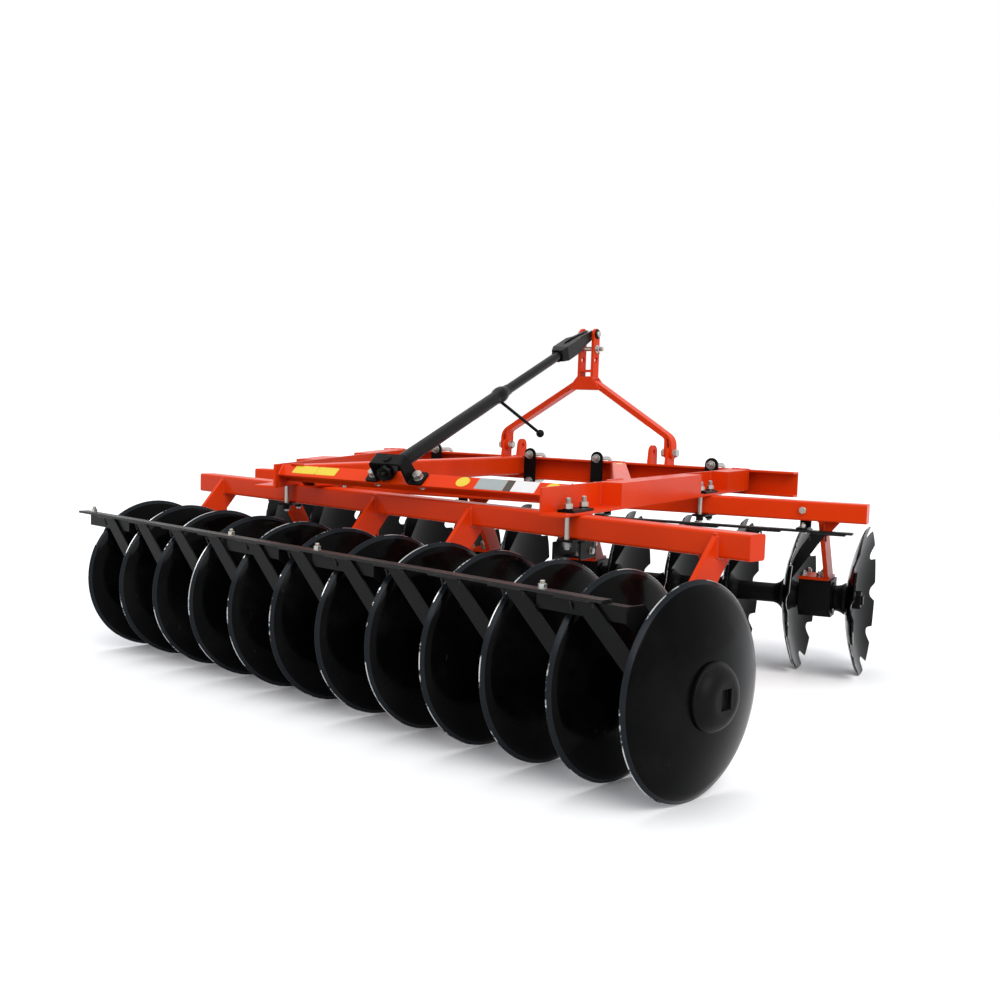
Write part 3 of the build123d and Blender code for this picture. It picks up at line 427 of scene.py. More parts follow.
def turned(profile, sides):
    """A surface of revolution: each (height, radius) of the profile goes once round the z axis."""
    height, radius = np.array(profile, float).T
    angle = np.linspace(0, 2 * pi, sides + 1)
    x = radius[:, None] * np.cos(angle)
    y = radius[:, None] * np.sin(angle)
    return np.stack([x, y, np.broadcast_to(height[:, None], x.shape)], -1)


def eased_rod(radius, length, ease):
    """A round bar's profile from its centre, with both rims chamfered by ease."""
    return [(0, 0), (0, radius - ease), (ease, radius), (length - ease, radius),
            (length, radius - ease), (length, 0)]


def washer_profile(radius, hole, thick):
    """A washer's section, up its hole's wall and back, its outer rims chamfered."""
    ease = 0.15 * thick
    return [(0, hole), (0, radius - ease), (ease, radius), (thick - ease, radius),
            (thick, radius - ease), (thick, hole), (0, hole)]


def hexagon(across_flats, thick):
    """A hexagonal nut or head on z: the six flats, cut at the corners by a 30 degree cone.

    At angle a the flats lie at half / cos(a from the nearest flat), and the cone takes
    tan(30) times what that exceeds the end circle by off both end faces.
    """
    half = across_flats / 2
    end_circle = 0.97 * half
    angle = np.linspace(0, 2 * pi, 37)
    radius = half / np.cos((angle + pi / 6) % (pi / 3) - pi / 6)
    drop = np.maximum(radius - end_circle, 0) * np.tan(pi / 6)
    rows = [(0, 0), (0, end_circle), (drop, radius),
            (thick - drop, radius), (thick, end_circle), (thick, 0)]
    return np.array([np.stack([r * np.cos(angle), r * np.sin(angle), z + 0 * angle], -1)
                     for z, r in rows])


THREAD_DEPTH, THREAD_CHAMFER = 0.0011, 0.002


def thread(radius, length, pitch=0.002):
    """A threaded bar on z: its radius falls and rises once a pitch, and its end is chamfered."""
    turns = max(int(length / pitch), 2)
    height = np.linspace(0, length, 2 * turns + 1)
    radii = radius - THREAD_DEPTH * (np.arange(len(height)) % 2)
    radii[-1] = radius - THREAD_CHAMFER
    profile = [(0, 0), *zip(height, radii), (length, 0)]
    return turned(profile, 16)


def capped(path, grid):
    """A grid closed at both ends by its path's end points."""
    columns = grid.shape[1]
    return np.concatenate([path[:1, None].repeat(columns, 1), grid, path[-1:, None].repeat(columns, 1)])


def carried(path, section):
    """A section (n, 2) carried along a path (m, 3), its first axis level and its second upright."""
    path = np.array(path, float)
    ahead = unit(np.gradient(path, axis=0))
    side = np.cross(ahead, (0, 0, 1.0))
    level = np.linalg.norm(side, axis=1)
    side = np.where(level[:, None] < 1e-4, (1.0, 0, 0), side / np.maximum(level, 1e-4)[:, None])
    up = np.cross(side, ahead)
    section = np.array(section, float)
    if section.ndim == 2:
        section = np.broadcast_to(section, (len(path), *section.shape))
    grid = path[:, None] + section[..., :1] * side[:, None] + section[..., 1:] * up[:, None]
    return capped(path, grid)


def lengths(path):
    """How far along a path each of its points is."""
    return np.concatenate([[0], np.cumsum(np.linalg.norm(np.diff(path, axis=0), axis=1))])


def points_at(path, at):
    """Points at distances along a path of straight runs."""
    return np.stack([np.interp(at, lengths(path), path[:, i]) for i in range(3)], -1)


def circle(radius):
    """Nine points round a circle, the last on the first."""
    angle = np.linspace(0, 2 * pi, 9)
    return radius * np.stack([np.cos(angle), np.sin(angle)], -1)


def bead(corners, size, ripple=0.0055):
    """A weld bead: a circle carried along the path, swelling once a ripple.

    Its radius is size * (0.86 + 0.14 |sin(pi s / ripple)|) at a distance s, with two slow waves
    added to the bracket, and it falls to a quarter at both ends as a square root.
    """
    corners = np.array(corners, float)
    run = lengths(corners)[-1]
    at = np.linspace(0, run, max(int(run / (ripple / 3)), 4) + 1)
    swell = 0.86 + 0.14 * np.abs(np.sin(pi * at / ripple))
    swell = swell + 0.07 * np.sin(at * 91.0) + 0.05 * np.sin(at * 233.0 + 1.0)
    ends = np.clip(np.minimum(at, at[-1] - at) / size, 0, 1) ** 0.5
    radius = size * swell * (0.25 + 0.75 * ends)
    return carried(points_at(corners, at), circle(1) * radius[:, None, None])


def slab(x, y, z):
    """A plate between its extents: eight-cornered level rings, inset at both faces."""
    ease = 0.001

    def ring(inset, height):
        a, b, c, d = x[0] + inset, x[1] - inset, y[0] + inset, y[1] - inset
        corners = [(a + ease, c), (b - ease, c), (b, c + ease), (b, d - ease), (b - ease, d),
                   (a + ease, d), (a, d - ease), (a, c + ease), (a + ease, c)]
        return np.array([(*corner, height) for corner in corners])

    middle = np.array([sum(x) / 2, sum(y) / 2, 0])
    ends = [np.tile(middle + (0, 0, height), (9, 1)) for height in z]
    rings = [ring(ease, z[0]), ring(0, z[0] + ease), ring(0, z[1] - ease), ring(ease, z[1])]
    return np.array([ends[0], *rings, ends[1]])


def bend(corners, setback):
    """Corners eased: each inner corner c becomes p(t) = (1-t)^2 a + 2t(1-t) c + t^2 b.

    The points a and b lie setback before and after the corner, so the curve is tangent to both runs.
    """
    corners = np.array(corners, float)
    t = np.linspace(0, 1, 8)[:, None]
    points = [corners[:1]]
    for before, corner, after in zip(corners, corners[1:], corners[2:]):
        a = corner + unit(before - corner) * setback
        b = corner + unit(after - corner) * setback
        points.append((1 - t) ** 2 * a + 2 * t * (1 - t) * corner + t ** 2 * b)
    return np.concatenate([*points, corners[-1:]])


def flat_bar(path, across, thick, width, start, end=0.0, ease=0.0008):
    """A flat bar along a path in the plane square to across: an eased rectangle carried along it.

    The width may be a function of the points. An end with a radius r is rounded: s from it, each
    side comes in by r - sqrt(r^2 - (r - s)^2).
    """
    run = lengths(path)
    ring = 1 - np.cos(np.linspace(0, pi / 2, 8))
    at = np.unique(np.round(np.concatenate([run, start * ring, run[-1] - end * ring]), 6))
    points = points_at(path, at)
    half = (width(points) if callable(width) else width + 0 * at) / 2
    for radius, away in ((start, at), (end, at[-1] - at)):
        gap = np.clip(radius - away, 0, radius)
        half = half - radius + np.sqrt(radius ** 2 - gap ** 2)
    half = np.maximum(half, ease * 1.01)
    normal = np.cross(across, unit(np.gradient(points, axis=0)))
    t, near = thick / 2, thick / 2 - ease
    u = np.array([near, t, t, near, -near, -t, -t, -near, near])
    inset = np.array([0, ease, ease, 0, 0, ease, ease, 0, 0])
    sign = np.array([1, 1, -1, -1, -1, -1, 1, 1, 1])
    v = sign * (half[:, None] - inset)
    grid = points[:, None] + normal[:, None] * u[:, None] + np.array(across) * v[..., None]
    return capped(points, grid)


def sheet(half_x, half_y, thick, corner):
    """A thin film on z: the superellipse |x/a|^n + |y/b|^n = 1 from -thick to thick.

    Its power n is the corner number: 2 makes an ellipse and 12 nearly a rectangle.
    """
    angle = np.linspace(0, 2 * pi, 49)
    c, s = np.round(np.cos(angle), 9), np.round(np.sin(angle), 9)
    x = half_x * np.sign(c) * np.abs(c) ** (2 / corner)
    y = half_y * np.sign(s) * np.abs(s) ** (2 / corner)
    return np.array([np.stack([x * share, y * share, 0 * x + height], -1)
                     for share, height in ((1, -thick), (1, thick), (0.5, thick), (0, thick))])


# the ground band's width on both sorts of disc, and the thickness it is ground to
NOTCHED_GROUND, PLAIN_GROUND, EDGE_T = 0.006, 0.011, 0.0016


def disc_surface(notched):
    """A dished disc as rows from the middle of its outer face round the rim to the inner one.

    A point's place is a radius r and an angle; x follows the outer or inner sphere at r. The
    boundary is the rim circle, and in a notch a round floor with straight sides that flare. The
    outer face's last millimetres are ground to a thin edge.
    """
    ground = NOTCHED_GROUND if notched else PLAIN_GROUND
    if notched:
        sector = 2 * pi / NOTCHES
        a = np.linspace(-NOTCH_FLARE, NOTCH_FLARE, 11)
        centre = DISC_R - NOTCH_DEPTH + NOTCH_R
        floor = np.stack([centre - NOTCH_R * np.cos(a), NOTCH_R * np.sin(a)], -1)
        flare = np.array((sin(NOTCH_FLARE), cos(NOTCH_FLARE)))
        inward = floor[-1] @ flare
        run = sqrt(inward ** 2 + DISC_R ** 2 - floor[-1] @ floor[-1]) - inward
        side = floor[-1] + flare * run * np.array([[0.35], [0.7], [1.0]])
        slot = np.concatenate([side[::-1] * (1, -1), floor, side])
        slot_angle, slot_r = np.arctan2(slot[:, 1], slot[:, 0]), np.hypot(*slot.T)
        arc = np.linspace(slot_angle[-1], sector - slot_angle[-1], 10)[1:-1]
        one_angle = np.concatenate([slot_angle, arc])
        one_r = np.concatenate([slot_r, np.full(len(arc), DISC_R)])
        angle = np.concatenate([one_angle + sector * i for i in range(NOTCHES)])
        edge = np.tile(one_r, NOTCHES)
        angle, edge = np.append(angle, angle[0] + 2 * pi), np.append(edge, edge[0])
    else:
        angle = np.linspace(0, 2 * pi, 145)
        edge = np.full(145, DISC_R)
    share = np.linspace(0, 1, 12)[:, None]
    face = SEAT_R + (edge - ground - 0.0006 - SEAT_R) * share
    middle, seat = 0 * edge, 0 * edge + SEAT_R * 0.98
    r = np.array([middle, seat, *face, edge - ground, edge - 0.0018, edge - 0.0012, edge,
                  edge, edge - 0.0008, *face[::-1], seat, middle])
    # the rows before turn lie on the outer face, and the last four of those on the ground band
    turn = len(face) + 6
    band = slice(turn - 4, turn)
    centre = SEAT_SAG - SPHERE_R
    flat = np.maximum(r, SEAT_R)
    x = centre + np.sqrt(SPHERE_R ** 2 - flat ** 2)
    inner = centre + np.sqrt((SPHERE_R - DISC_T) ** 2 - flat ** 2)
    x[turn:] = inner[turn:]
    slope = np.clip((edge - r[band]) / ground, 0, 1)
    x[band] = inner[band] + EDGE_T + (DISC_T - EDGE_T) * slope
    rim = np.zeros_like(r)
    rim[turn - 4:turn - 2] = 0.5
    rim[turn - 2:turn + 1] = 1
    points = np.stack([x, r * np.cos(angle), r * np.sin(angle)], -1)
    polar = np.stack([r / DISC_R, np.broadcast_to(angle / (2 * pi), r.shape)], -1)
    return points, polar, rim


# ---- discs: plain ones behind, notched ones in front ----

# Each notched disc is turned a little against the last, within the play of the axle's square; a
# plain disc is turned by a step, so that no two show the same marks.
NOTCH_PLAY, PLAIN_STEP = 0.03, 0.7
half_gangs = (
    ("gang_rear_left", REAR, 0, False),
    ("gang_rear_right", REAR, DISCS // 2, False),
    ("gang_front_right", FRONT, 0, True),
    ("gang_front_left", FRONT, DISCS // 2, True),
)
for body, place, first, notched in half_gangs:
    discs = Surfaces()
    points, polar, rim = disc_surface(notched)
    for i in range(first, first + DISCS // 2):
        turn = NOTCH_PLAY * sin(2.4 * i) if notched else PLAIN_STEP * i
        spun = points.copy()
        spun[..., 1] = points[..., 1] * cos(turn) - points[..., 2] * sin(turn)
        spun[..., 2] = points[..., 1] * sin(turn) + points[..., 2] * cos(turn)
        discs.add(spun + np.array([RIMS[i] + SEAT_TO_RIM, 0, DISC_R]), place, polar, rim)
    node = body.replace("gang", "discs")
    discs.piece(node + "_shown", DISC_BLACK, "disc_black", body, [node], 30)


# ---- nuts, heads, washers and threads ----

def fastener(parts, at, facing, radius, spare, place=PLACE, washer=1.9):
    """A washer and a hex nut or head on a face; it shows spare of its thread, if that isn't 0.

    The hexagon is 3 radii across its flats and 1.6 thick; the washer's radius is given in radii too.
    """
    seat = place @ along(at, np.add(at, facing))
    thick = 0.36 * radius
    parts.add(turned(washer_profile(washer * radius, 0, thick), 28), seat)
    parts.add(hexagon(3 * radius, 1.6 * radius), lifted(seat, z=thick))
    if spare:
        parts.add(thread(radius, 1.6 * radius + spare, 0.25 * radius), lifted(seat, z=thick))


# ---- side members and what is welded to them ----

FLANGE_OUT, SECTION_T = 0.077, 0.008
# each web's rear and front end on the ground plan
WEBS = {
    "right": ((0.615, -0.109), (0.413, CHANNEL_REAR)),
    "left": ((-0.560, 0.040), (-1.285, CHANNEL_REAR)),
}
# where each box starts and ends along its member; one that runs past the end stops at it
TO_END = 9.0
BOXES = {"right": ((0.420, 1.180), (1.490, TO_END)), "left": ((0.430, 0.760), (1.180, TO_END))}
SIGN = {"right": 1, "left": -1}
# the inner and the diagonal tube, from rear to front end, and half their width
TUBES = ((-0.520, 0.100), (-0.630, CHANNEL_REAR)), ((0.555, 0.486), (-0.110, CHANNEL_REAR))
TUBE_HALF = 0.030
# the rear cross member's profile, from behind: y and z of its lip, apex and far lip
LIP, APEX, FAR_LIP = (0.068, 0.705), (0.110, 0.741), (0.159, 0.684)


def member_frame(side):
    """The layout frame of a side member: y along it from its rear end, x to the right."""
    (x0, y0), (x1, y1) = WEBS[side]
    length = hypot(x1 - x0, y1 - y0)
    ahead = ((x1 - x0) / length, (y1 - y0) / length)
    return frame_of((x0, y0, 0), (ahead[1], -ahead[0], 0), (*ahead, 0)), length


def web_x(side, y):
    """Where a side member's web stands at y."""
    (x0, y0), (x1, y1) = WEBS[side]
    return x0 + (x1 - x0) * (y - y0) / (y1 - y0)


frame_welds = Surfaces()


def weld(size, *corners, place=PLACE, ripple=0.0055):
    """A bead of the frame's welds through corners."""
    frame_welds.add(bead(corners, size, ripple), place)


for side, boxes in BOXES.items():
    place, length = member_frame(side)
    place, sign = PLACE @ place, SIGN[side]
    inside, outside = sign * SECTION_T, sign * (FLANGE_OUT - 0.003)
    for start, end in boxes:
        for y in (start, min(end, length - 0.004)):
            weld(0.0042, (inside, y, MEMBER_TOP), (inside, y, FLANGE_TOP), (outside, y, FLANGE_TOP),
                 place=place)
    weld(0.0050, (-0.001, length, MEMBER_TOP), (sign * FLANGE_OUT, length, MEMBER_TOP), place=place)
    weld(0.0042, (0, length, MEMBER_TOP - 0.004), (0, length, BEAM_TOP), place=place)
    under_lip = (LIP[0], LIP[1] - 0.004)
    weld(0.0046, *[(web_x(side, y), y, z) for y, z in (under_lip, LIP, APEX, FAR_LIP)])

for (x0, y0), (x1, y1) in TUBES:
    half = TUBE_HALF * hypot(1, (x1 - x0) / (y1 - y0))
    left, right, seam_y = x1 - half, x1 + half, CHANNEL_REAR - 0.001
    for x in (left, right):
        weld(0.0045, (x, seam_y, MEMBER_TOP - 0.006), (x, seam_y, BEAM_TOP + 0.006))
    weld(0.0050, (left, CHANNEL_REAR, MEMBER_TOP), (right, CHANNEL_REAR, MEMBER_TOP))
# the inner tube against the apex, the diagonal one against the right web
weld(0.0048, (-0.551, 0.106, MEMBER_TOP), (-0.489, 0.106, MEMBER_TOP))
weld(0.0048, *[(web_x("right", y) - 0.001, y, MEMBER_TOP) for y in (0.372, 0.505)])

# ---- hitch bar, lugs and mast welds ----

HITCH_X, MAST_Y = -0.335, 1.752
BAR_REAR, BAR_FRONT, BAR_TOP, BAR_LOW = 1.712, 1.770, 0.722, 0.662
BAR_ENDS = (-1.178, 0.418)
LUG_X, LUG_T = (0.338, 0.421), 0.014
# from the mast's middle: its post, and the x and z of its gusset's slope and short upright
POST_OUT, POST_FOOT = 0.039, 1.100
GUSSET_SLOPE = (0.081, 1.052), (0.034, 1.107)
GUSSET_UPRIGHT = (0.026, 1.139), (0.026, 1.128)
for lug in [HITCH_X + side * x for side in (-1, 1) for x in LUG_X]:
    for x in (lug - LUG_T / 2, lug + LUG_T / 2):
        weld(0.0045, (x, BAR_REAR + 0.001, BAR_TOP), (x, BAR_FRONT, BAR_TOP), (x, BAR_FRONT, BAR_LOW))
weld(0.0036, *[(x, BAR_REAR, BAR_TOP) for x in BAR_ENDS], ripple=0.007)
for y in (MAST_Y - 0.025, MAST_Y + 0.025):
    for side in (-1, 1):
        weld(0.0040, *[(HITCH_X + side * x, y, z) for x, z in GUSSET_SLOPE])
        weld(0.0030, *[(HITCH_X + side * x, y, z) for x, z in GUSSET_UPRIGHT])
for side in (-1, 1):
    post = HITCH_X + side * POST_OUT
    weld(0.0048, (post, MAST_Y - 0.024, POST_FOOT), (post, MAST_Y + 0.024, POST_FOOT))
frame_welds.piece("frame_welds", WELD, "orange_paint")

# ---- mast arms: two bars flush on the slope that part at the knee and stand astride the lug ----

ARM_T, ARM_W = 0.0115, 0.050
LUG_HOLE_Z, KNEE_Z, ARM_HEAD = 0.789, 0.852, (0.040, 1.082)
# how far from its knee each bar starts to bend
INNER_BEND, OUTER_BEND = 0.014, 0.034
arms = Surfaces()
for side in (-1, 1):
    lug = HITCH_X + side * LUG_X[1]
    rise, inward = ARM_HEAD[1] - KNEE_Z, LUG_X[1] - ARM_HEAD[0]
    reach = hypot(rise, inward)
    run = np.array((-side * inward, rise)) / reach
    out = np.array((side * rise, inward)) / reach
    for layer, setback in ((-1, INNER_BEND), (1, OUTER_BEND)):
        upright = lug + side * layer * (LUG_T + ARM_T) / 2
        on_run = np.array((lug, KNEE_Z)) + out * layer * ARM_T / 2
        knee = on_run + run * (upright - on_run[0]) / run[0]
        head = on_run + run * (reach + 0.004)
        route = [(upright, LUG_HOLE_Z - ARM_W / 2), knee, head]
        path = bend([(x, MAST_Y, z) for x, z in route], setback)
        arms.add(flat_bar(path, (0, 1, 0), ARM_T, ARM_W, start=ARM_W / 2 - 0.001))
arms.piece("mast_arms_shown", ORANGE_SMOOTH, "orange_paint", replaces=["mast_arms"], sharp=30)

# ---- legs on their beams and feet on their housings ----

# in the gang's frame, from the leg's place along it
LEG_SIDES = (0.006, 0.022)
LEG_REAR, LEG_FRONT, LEG_TOP = BEAM_Y - BEAM / 2, 0.2739, 0.652
FOOT_WELD_Y = (-0.028, 0.079)
FOOT_BOLT_X, FOOT_BOLT_Y, FOOT_BOLT_R = (0.042, 0.101), (-0.042, 0.060), 0.0075
GUSSET_Y, GUSSET_W, GUSSET_H = (0.2245, 0.2325), 0.048, 0.074
BLOCK_HALF_X, BLOCK_HALF_Y = 0.060, 0.068
COVER_R, COVER_HOLE, COVER_T, COVER_BOLTS_R = 0.0600, 0.0412, 0.005, 0.0545
for end, place in (("rear", REAR), ("front", FRONT)):
    welds, bolts, covers = Surfaces(), Surfaces(), Surfaces()
    for x in LEG_X:
        for side in [x + out for out in LEG_SIDES]:
            welds.add(bead([(side, LEG_REAR, LEG_TOP - 0.002), (side, LEG_REAR, BEAM_LOW),
                            (side, LEG_FRONT, BEAM_LOW)], 0.0046), place)
            welds.add(bead([(side, y, FOOT_TOP) for y in FOOT_WELD_Y], 0.0042), place)
        welds.add(bead([(x + out, LEG_REAR, LEG_TOP) for out in LEG_SIDES], 0.0040), place)
        near = x + LEG_SIDES[0]
        for y in GUSSET_Y:
            welds.add(bead([(x - GUSSET_W, y, BEAM_LOW), (near, y, BEAM_LOW),
                            (near, y, BEAM_LOW - GUSSET_H)], 0.0036), place)
        for across in FOOT_BOLT_X:
            for y in FOOT_BOLT_Y:
                fastener(bolts, (x + across, y, FOOT_TOP), (0, 0, 1), FOOT_BOLT_R, 0.006, place)
        bearing = x + SEAT_TO_RIM + SEAT_INNER / 2
        for face in (-1, 1):
            wall = bearing + face * BLOCK_HALF_X
            seat = place @ along((wall, 0, DISC_R), (wall + face, 0, DISC_R))
            covers.add(turned(washer_profile(COVER_R, COVER_HOLE, COVER_T), 48), seat)
            for quarter in range(4):
                angle = (quarter + 0.5) * pi / 2
                at = (wall + face * COVER_T, COVER_BOLTS_R * cos(angle),
                      DISC_R + COVER_BOLTS_R * sin(angle))
                fastener(bolts if quarter % 2 else covers, at, (face, 0, 0), 0.0030, 0, place, 1.7)
        grease = (bearing - 0.020, -BLOCK_HALF_Y, 0.300)
        fastener(bolts, grease, (0, -1, 0), 0.0035, 0.004, place, 1.6)
    welds.piece(f"leg_welds_{end}", WELD, "orange_paint")
    bolts.piece(f"leg_bolts_{end}", ZINC, "zinc", sharp=30)
    covers.piece(f"bearing_covers_{end}", CAST_BLACK, "cast_black")

# ---- clamps ----

STUD_OUT, STUD_MARGIN, STUD_R, STUD_SPARE = 0.044, 0.018, 0.008, 0.022
PLATE_T, NUT_AF, NUT_T, LOW_NUT_T = 0.008, 0.024, 0.015, 0.013
SEAT_WASHER_T, LOW_WASHER_T = 0.003, 0.002
# the adjuster under the right rear clamp: two cheeks on a short floor
CHEEKS, CHEEK_H = ((-0.036, -0.029), (0.029, 0.036)), 0.052


def clamp_place(side, gang, beam_y):
    """The frame of a clamp, y along its side member, and half the studs' spacing.

    The line of the studs runs STUD_OUT outside the web and meets the beam's centre line there.
    """
    member, _ = member_frame(side)
    member = PLACE @ lifted(member, x=SIGN[side] * STUD_OUT)
    start, ahead = member[:2, 3], member[:2, 1]
    forward = gang[:2, 1]
    centre = gang[:2, 3] + forward * beam_y
    reach = (centre - start) @ forward / (ahead @ forward)
    return lifted(member, y=reach), (BEAM / 2 + STUD_MARGIN) / (ahead @ forward)


studs, seats, nuts = Surfaces(), Surfaces(), Surfaces()
for side in ("right", "left"):
    for gang, beam_y in ((REAR, BEAM_Y), (FRONT_STRAIGHT, -BEAM_Y)):
        place, half = clamp_place(side, gang, beam_y)
        low, high = BEAM_LOW - PLATE_T, FLANGE_TOP + PLATE_T
        big = side == "right" and gang is REAR
        for y in (-half, half):
            foot = lifted(place, y=y, z=low - STUD_SPARE)
            top = lifted(place, y=y, z=high)
            studs.add(turned(eased_rod(STUD_R, high - low + STUD_SPARE, 0.001), 24), foot)
            studs.add(thread(STUD_R, LOW_NUT_T + STUD_SPARE), top)
            seats.add(turned(washer_profile(0.0150, 0, SEAT_WASHER_T), 28), top)
            studs.add(hexagon(NUT_AF, NUT_T), lifted(top, z=SEAT_WASHER_T))
            lower = studs if big else nuts
            washer = turned(washer_profile(0.0145, 0, LOW_WASHER_T), 28)
            lower.add(washer, lifted(place, y=y, z=low - LOW_WASHER_T))
            lower.add(hexagon(NUT_AF, LOW_NUT_T), lifted(place, y=y, z=low - LOW_WASHER_T - LOW_NUT_T))
        if big:
            foot = low - CHEEK_H
            rear, front = -half - 0.022, half + 0.022
            for cheek, start in zip(CHEEKS, (rear, -half + 0.020)):
                seats.add(slab(cheek, (start, front), (foot, low)), place)
            floor_x = (CHEEKS[0][1], CHEEKS[1][0])
            seats.add(slab(floor_x, (half - 0.055, front), (foot, foot + 0.007)), place)
            outward = (1, 0, 0)
            fastener(studs, (CHEEKS[1][1], half - 0.020, low - 0.030), outward, 0.0055, 0.002, place)
            fastener(studs, (CHEEKS[1][1], half + 0.010, low - 0.012), outward, 0.0035, 0, place)
studs.piece("clamp_studs_shown", ZINC, "zinc", replaces=["clamp_studs"], sharp=30)
seats.piece("clamp_seats", BLACK_SMOOTH, "black_paint", sharp=30)
nuts.piece("clamp_lower_nuts", BLACK_SMOOTH, "black_paint", sharp=30)

# ---- straps across the channel, mast and brace ----

STRAP_X, STRAP_NUT_Z, STRAP_T = (-1.093, -0.563, -0.217, 0.326), (0.633, 0.752), 0.008
fittings, dark = Surfaces(), Surfaces()
for x in STRAP_X:
    for z in STRAP_NUT_Z:
        seat = PLACE @ along((x, CHANNEL_REAR - STRAP_T, z), (x, 0, z))
        fittings.add(turned(washer_profile(0.0185, 0, 0.0028), 32), seat)
        fittings.add(hexagon(0.0272, 0.0150), lifted(seat, z=0.0030))
        fittings.add(thread(0.0091, 0.0125), lifted(seat, z=0.0165))

ARM_BOLT_R, ARM_BOLT_OUT = 0.0102, 0.0171
for side in (-1, 1):
    bolt = HITCH_X + side * LUG_X[1]
    for facing, spare in ((1, 0), (-1, 0.004)):
        at = (bolt + facing * ARM_BOLT_OUT, MAST_Y, LUG_HOLE_Z)
        fastener(fittings, at, (facing, 0, 0), ARM_BOLT_R, spare, washer=1.75)

# the top pin's bare end on a dark washer, and the tapered end of the pin below with its cotter
TOP_PIN_Z, LOW_PIN_Z = 1.295, 1.230
pin_end = HITCH_X + POST_OUT
top_end = eased_rod(0.0130, 0.009, 0.003)
low_end = [(0, 0), (0, 0.0102), (0.018, 0.0102), (0.029, 0.006), (0.031, 0)]
for parts, profile, sides, out, z in (
    (fittings, top_end, 28, 0.004, TOP_PIN_Z),
    (dark, washer_profile(0.0210, 0, 0.005), 32, 0, TOP_PIN_Z),
    (fittings, low_end, 28, 0.004, LOW_PIN_Z),
):
    start = (pin_end + out, MAST_Y, z)
    parts.add(turned(profile, sides), PLACE @ along(start, np.add(start, (1, 0, 0))))
# each leg of the cotter runs straight down and bows by a half sine; the second one splays
s = np.linspace(0, 1, 25)[:, None]
top = np.array([pin_end + 0.018, MAST_Y - 0.011, LOW_PIN_Z + 0.011])
leg = top + s * (0, 0, -0.030) + np.sin(pi * s) * (0, -0.010, 0)
for splay in ((0, 0, 0), (0.007, 0.002, -0.004)):
    fittings.add(carried(leg + s * splay, circle(0.0013)))

# the bracket: a hat bent from plate, square to the rear cross member's slope, its bolts and plug
BRACKET_X, BRACKET_HALF, BRACKET_H = -0.062, 0.0665, 0.084
FOOT, PLATE, BRACKET_BOLT_R = 0.050, 0.008, 0.0098
slope_angle = atan2(APEX[1] - LIP[1], APEX[0] - LIP[0])
up_slope = np.array([0, cos(slope_angle), sin(slope_angle)])
off_slope = np.array([0, -sin(slope_angle), cos(slope_angle)])
seat = np.array([BRACKET_X, (APEX[0] + LIP[0]) / 2, (APEX[1] + LIP[1]) / 2])
wall = BRACKET_HALF - PLATE / 2
outline = [(-BRACKET_HALF - FOOT, PLATE / 2), (-wall, PLATE / 2), (-wall, BRACKET_H - PLATE / 2),
           (wall, BRACKET_H - PLATE / 2), (wall, PLATE / 2), (BRACKET_HALF + FOOT, PLATE / 2)]
path = bend([seat + np.array([x, 0, 0]) + off_slope * height for x, height in outline], 0.011)
bracket = Surfaces()


def bracket_width(points):
    """The bracket's width: 0.058 at its feet, less 0.13 of the height above the slope."""
    return 0.058 - 0.13 * ((points - seat) @ off_slope)


bracket.add(flat_bar(path, up_slope, PLATE, bracket_width, start=0.008, end=0.008, ease=0.0012))
plug = [(0, 0), (0, 0.0150), (0.003, 0.0150), (0.0045, 0.0130), (0.005, 0)]
bracket.add(turned(plug, 32), PLACE @ along(seat + off_slope * BRACKET_H, seat + off_slope))
bracket.piece("brace_bracket_shown", BLACK_SMOOTH, "black_paint",
              replaces=["brace_bracket"], sharp=30)
for side in (-1, 1):
    top = seat + off_slope * PLATE + np.array([side * (BRACKET_HALF + 0.026), 0, 0])
    under = top - off_slope * (PLATE + SECTION_T)
    fastener(fittings, top, off_slope, BRACKET_BOLT_R, 0, washer=1.75)
    fastener(fittings, under, -off_slope, BRACKET_BOLT_R, 0.010, washer=1.6)
fittings.piece("frame_fasteners", ZINC, "zinc", sharp=30)

# ---- brace: threaded rod with nut and collar, the tube's capped end and its swaged joint ----

BRACE_START = np.array([-0.085, 0.040, 0.733])
BRACE_END = np.array([HITCH_X, MAST_Y, TOP_PIN_Z])
BRACE_LENGTH = float(np.linalg.norm(BRACE_END - BRACE_START))
ROD_R, TUBE_R, YOKE_RING_R = 0.013, 0.025, 0.0235
# how far up the brace the lower tube, its joint and the yoke's ring stand
tube_start, joint, yoke = (BRACE_LENGTH * share for share in (0.085, 0.49, 0.80))
# each profile is rows of height and radius
ROD_COLLAR = [(0, 0), (0, 0.0270), (0.003, 0.0290), (0.010, 0.0290), (0.013, 0.0260),
              (0.034, 0.0240), (0.034, 0)]
TUBE_END = [(0, 0), (0, 0.0200), (0.005, TUBE_R - 0.001), (0.009, TUBE_R),
            (0.070, TUBE_R + 0.0002), (0.070, 0)]
SWAGE = [(0, TUBE_R), (0.012, 0.0262), (0.028, 0.0300), (0.044, 0.0312), (0.060, 0.0300),
         (0.080, 0.0250), (0.100, 0.0200), (0.104, 0.0190), (0, 0.0190), (0, TUBE_R)]
brace = PLACE @ along(BRACE_START, BRACE_END)
downward = frame_of((0, 0, 0.056), y=(0, -1, 0), z=(0, 0, -1))
rod = Surfaces()
rod.add(thread(ROD_R, 0.070, 0.003), brace @ downward)
rod.add(turned(eased_rod(ROD_R, tube_start - 0.050, 0.001), 32), lifted(brace, z=0.055))
rod.add(hexagon(0.0440, 0.0200), lifted(brace, z=0.004))
rod.add(turned(ROD_COLLAR, 40), lifted(brace, z=0.026))
rod.piece("brace_rod_shown", BLACK_SMOOTH, "black_paint", replaces=["brace_rod"], sharp=30)

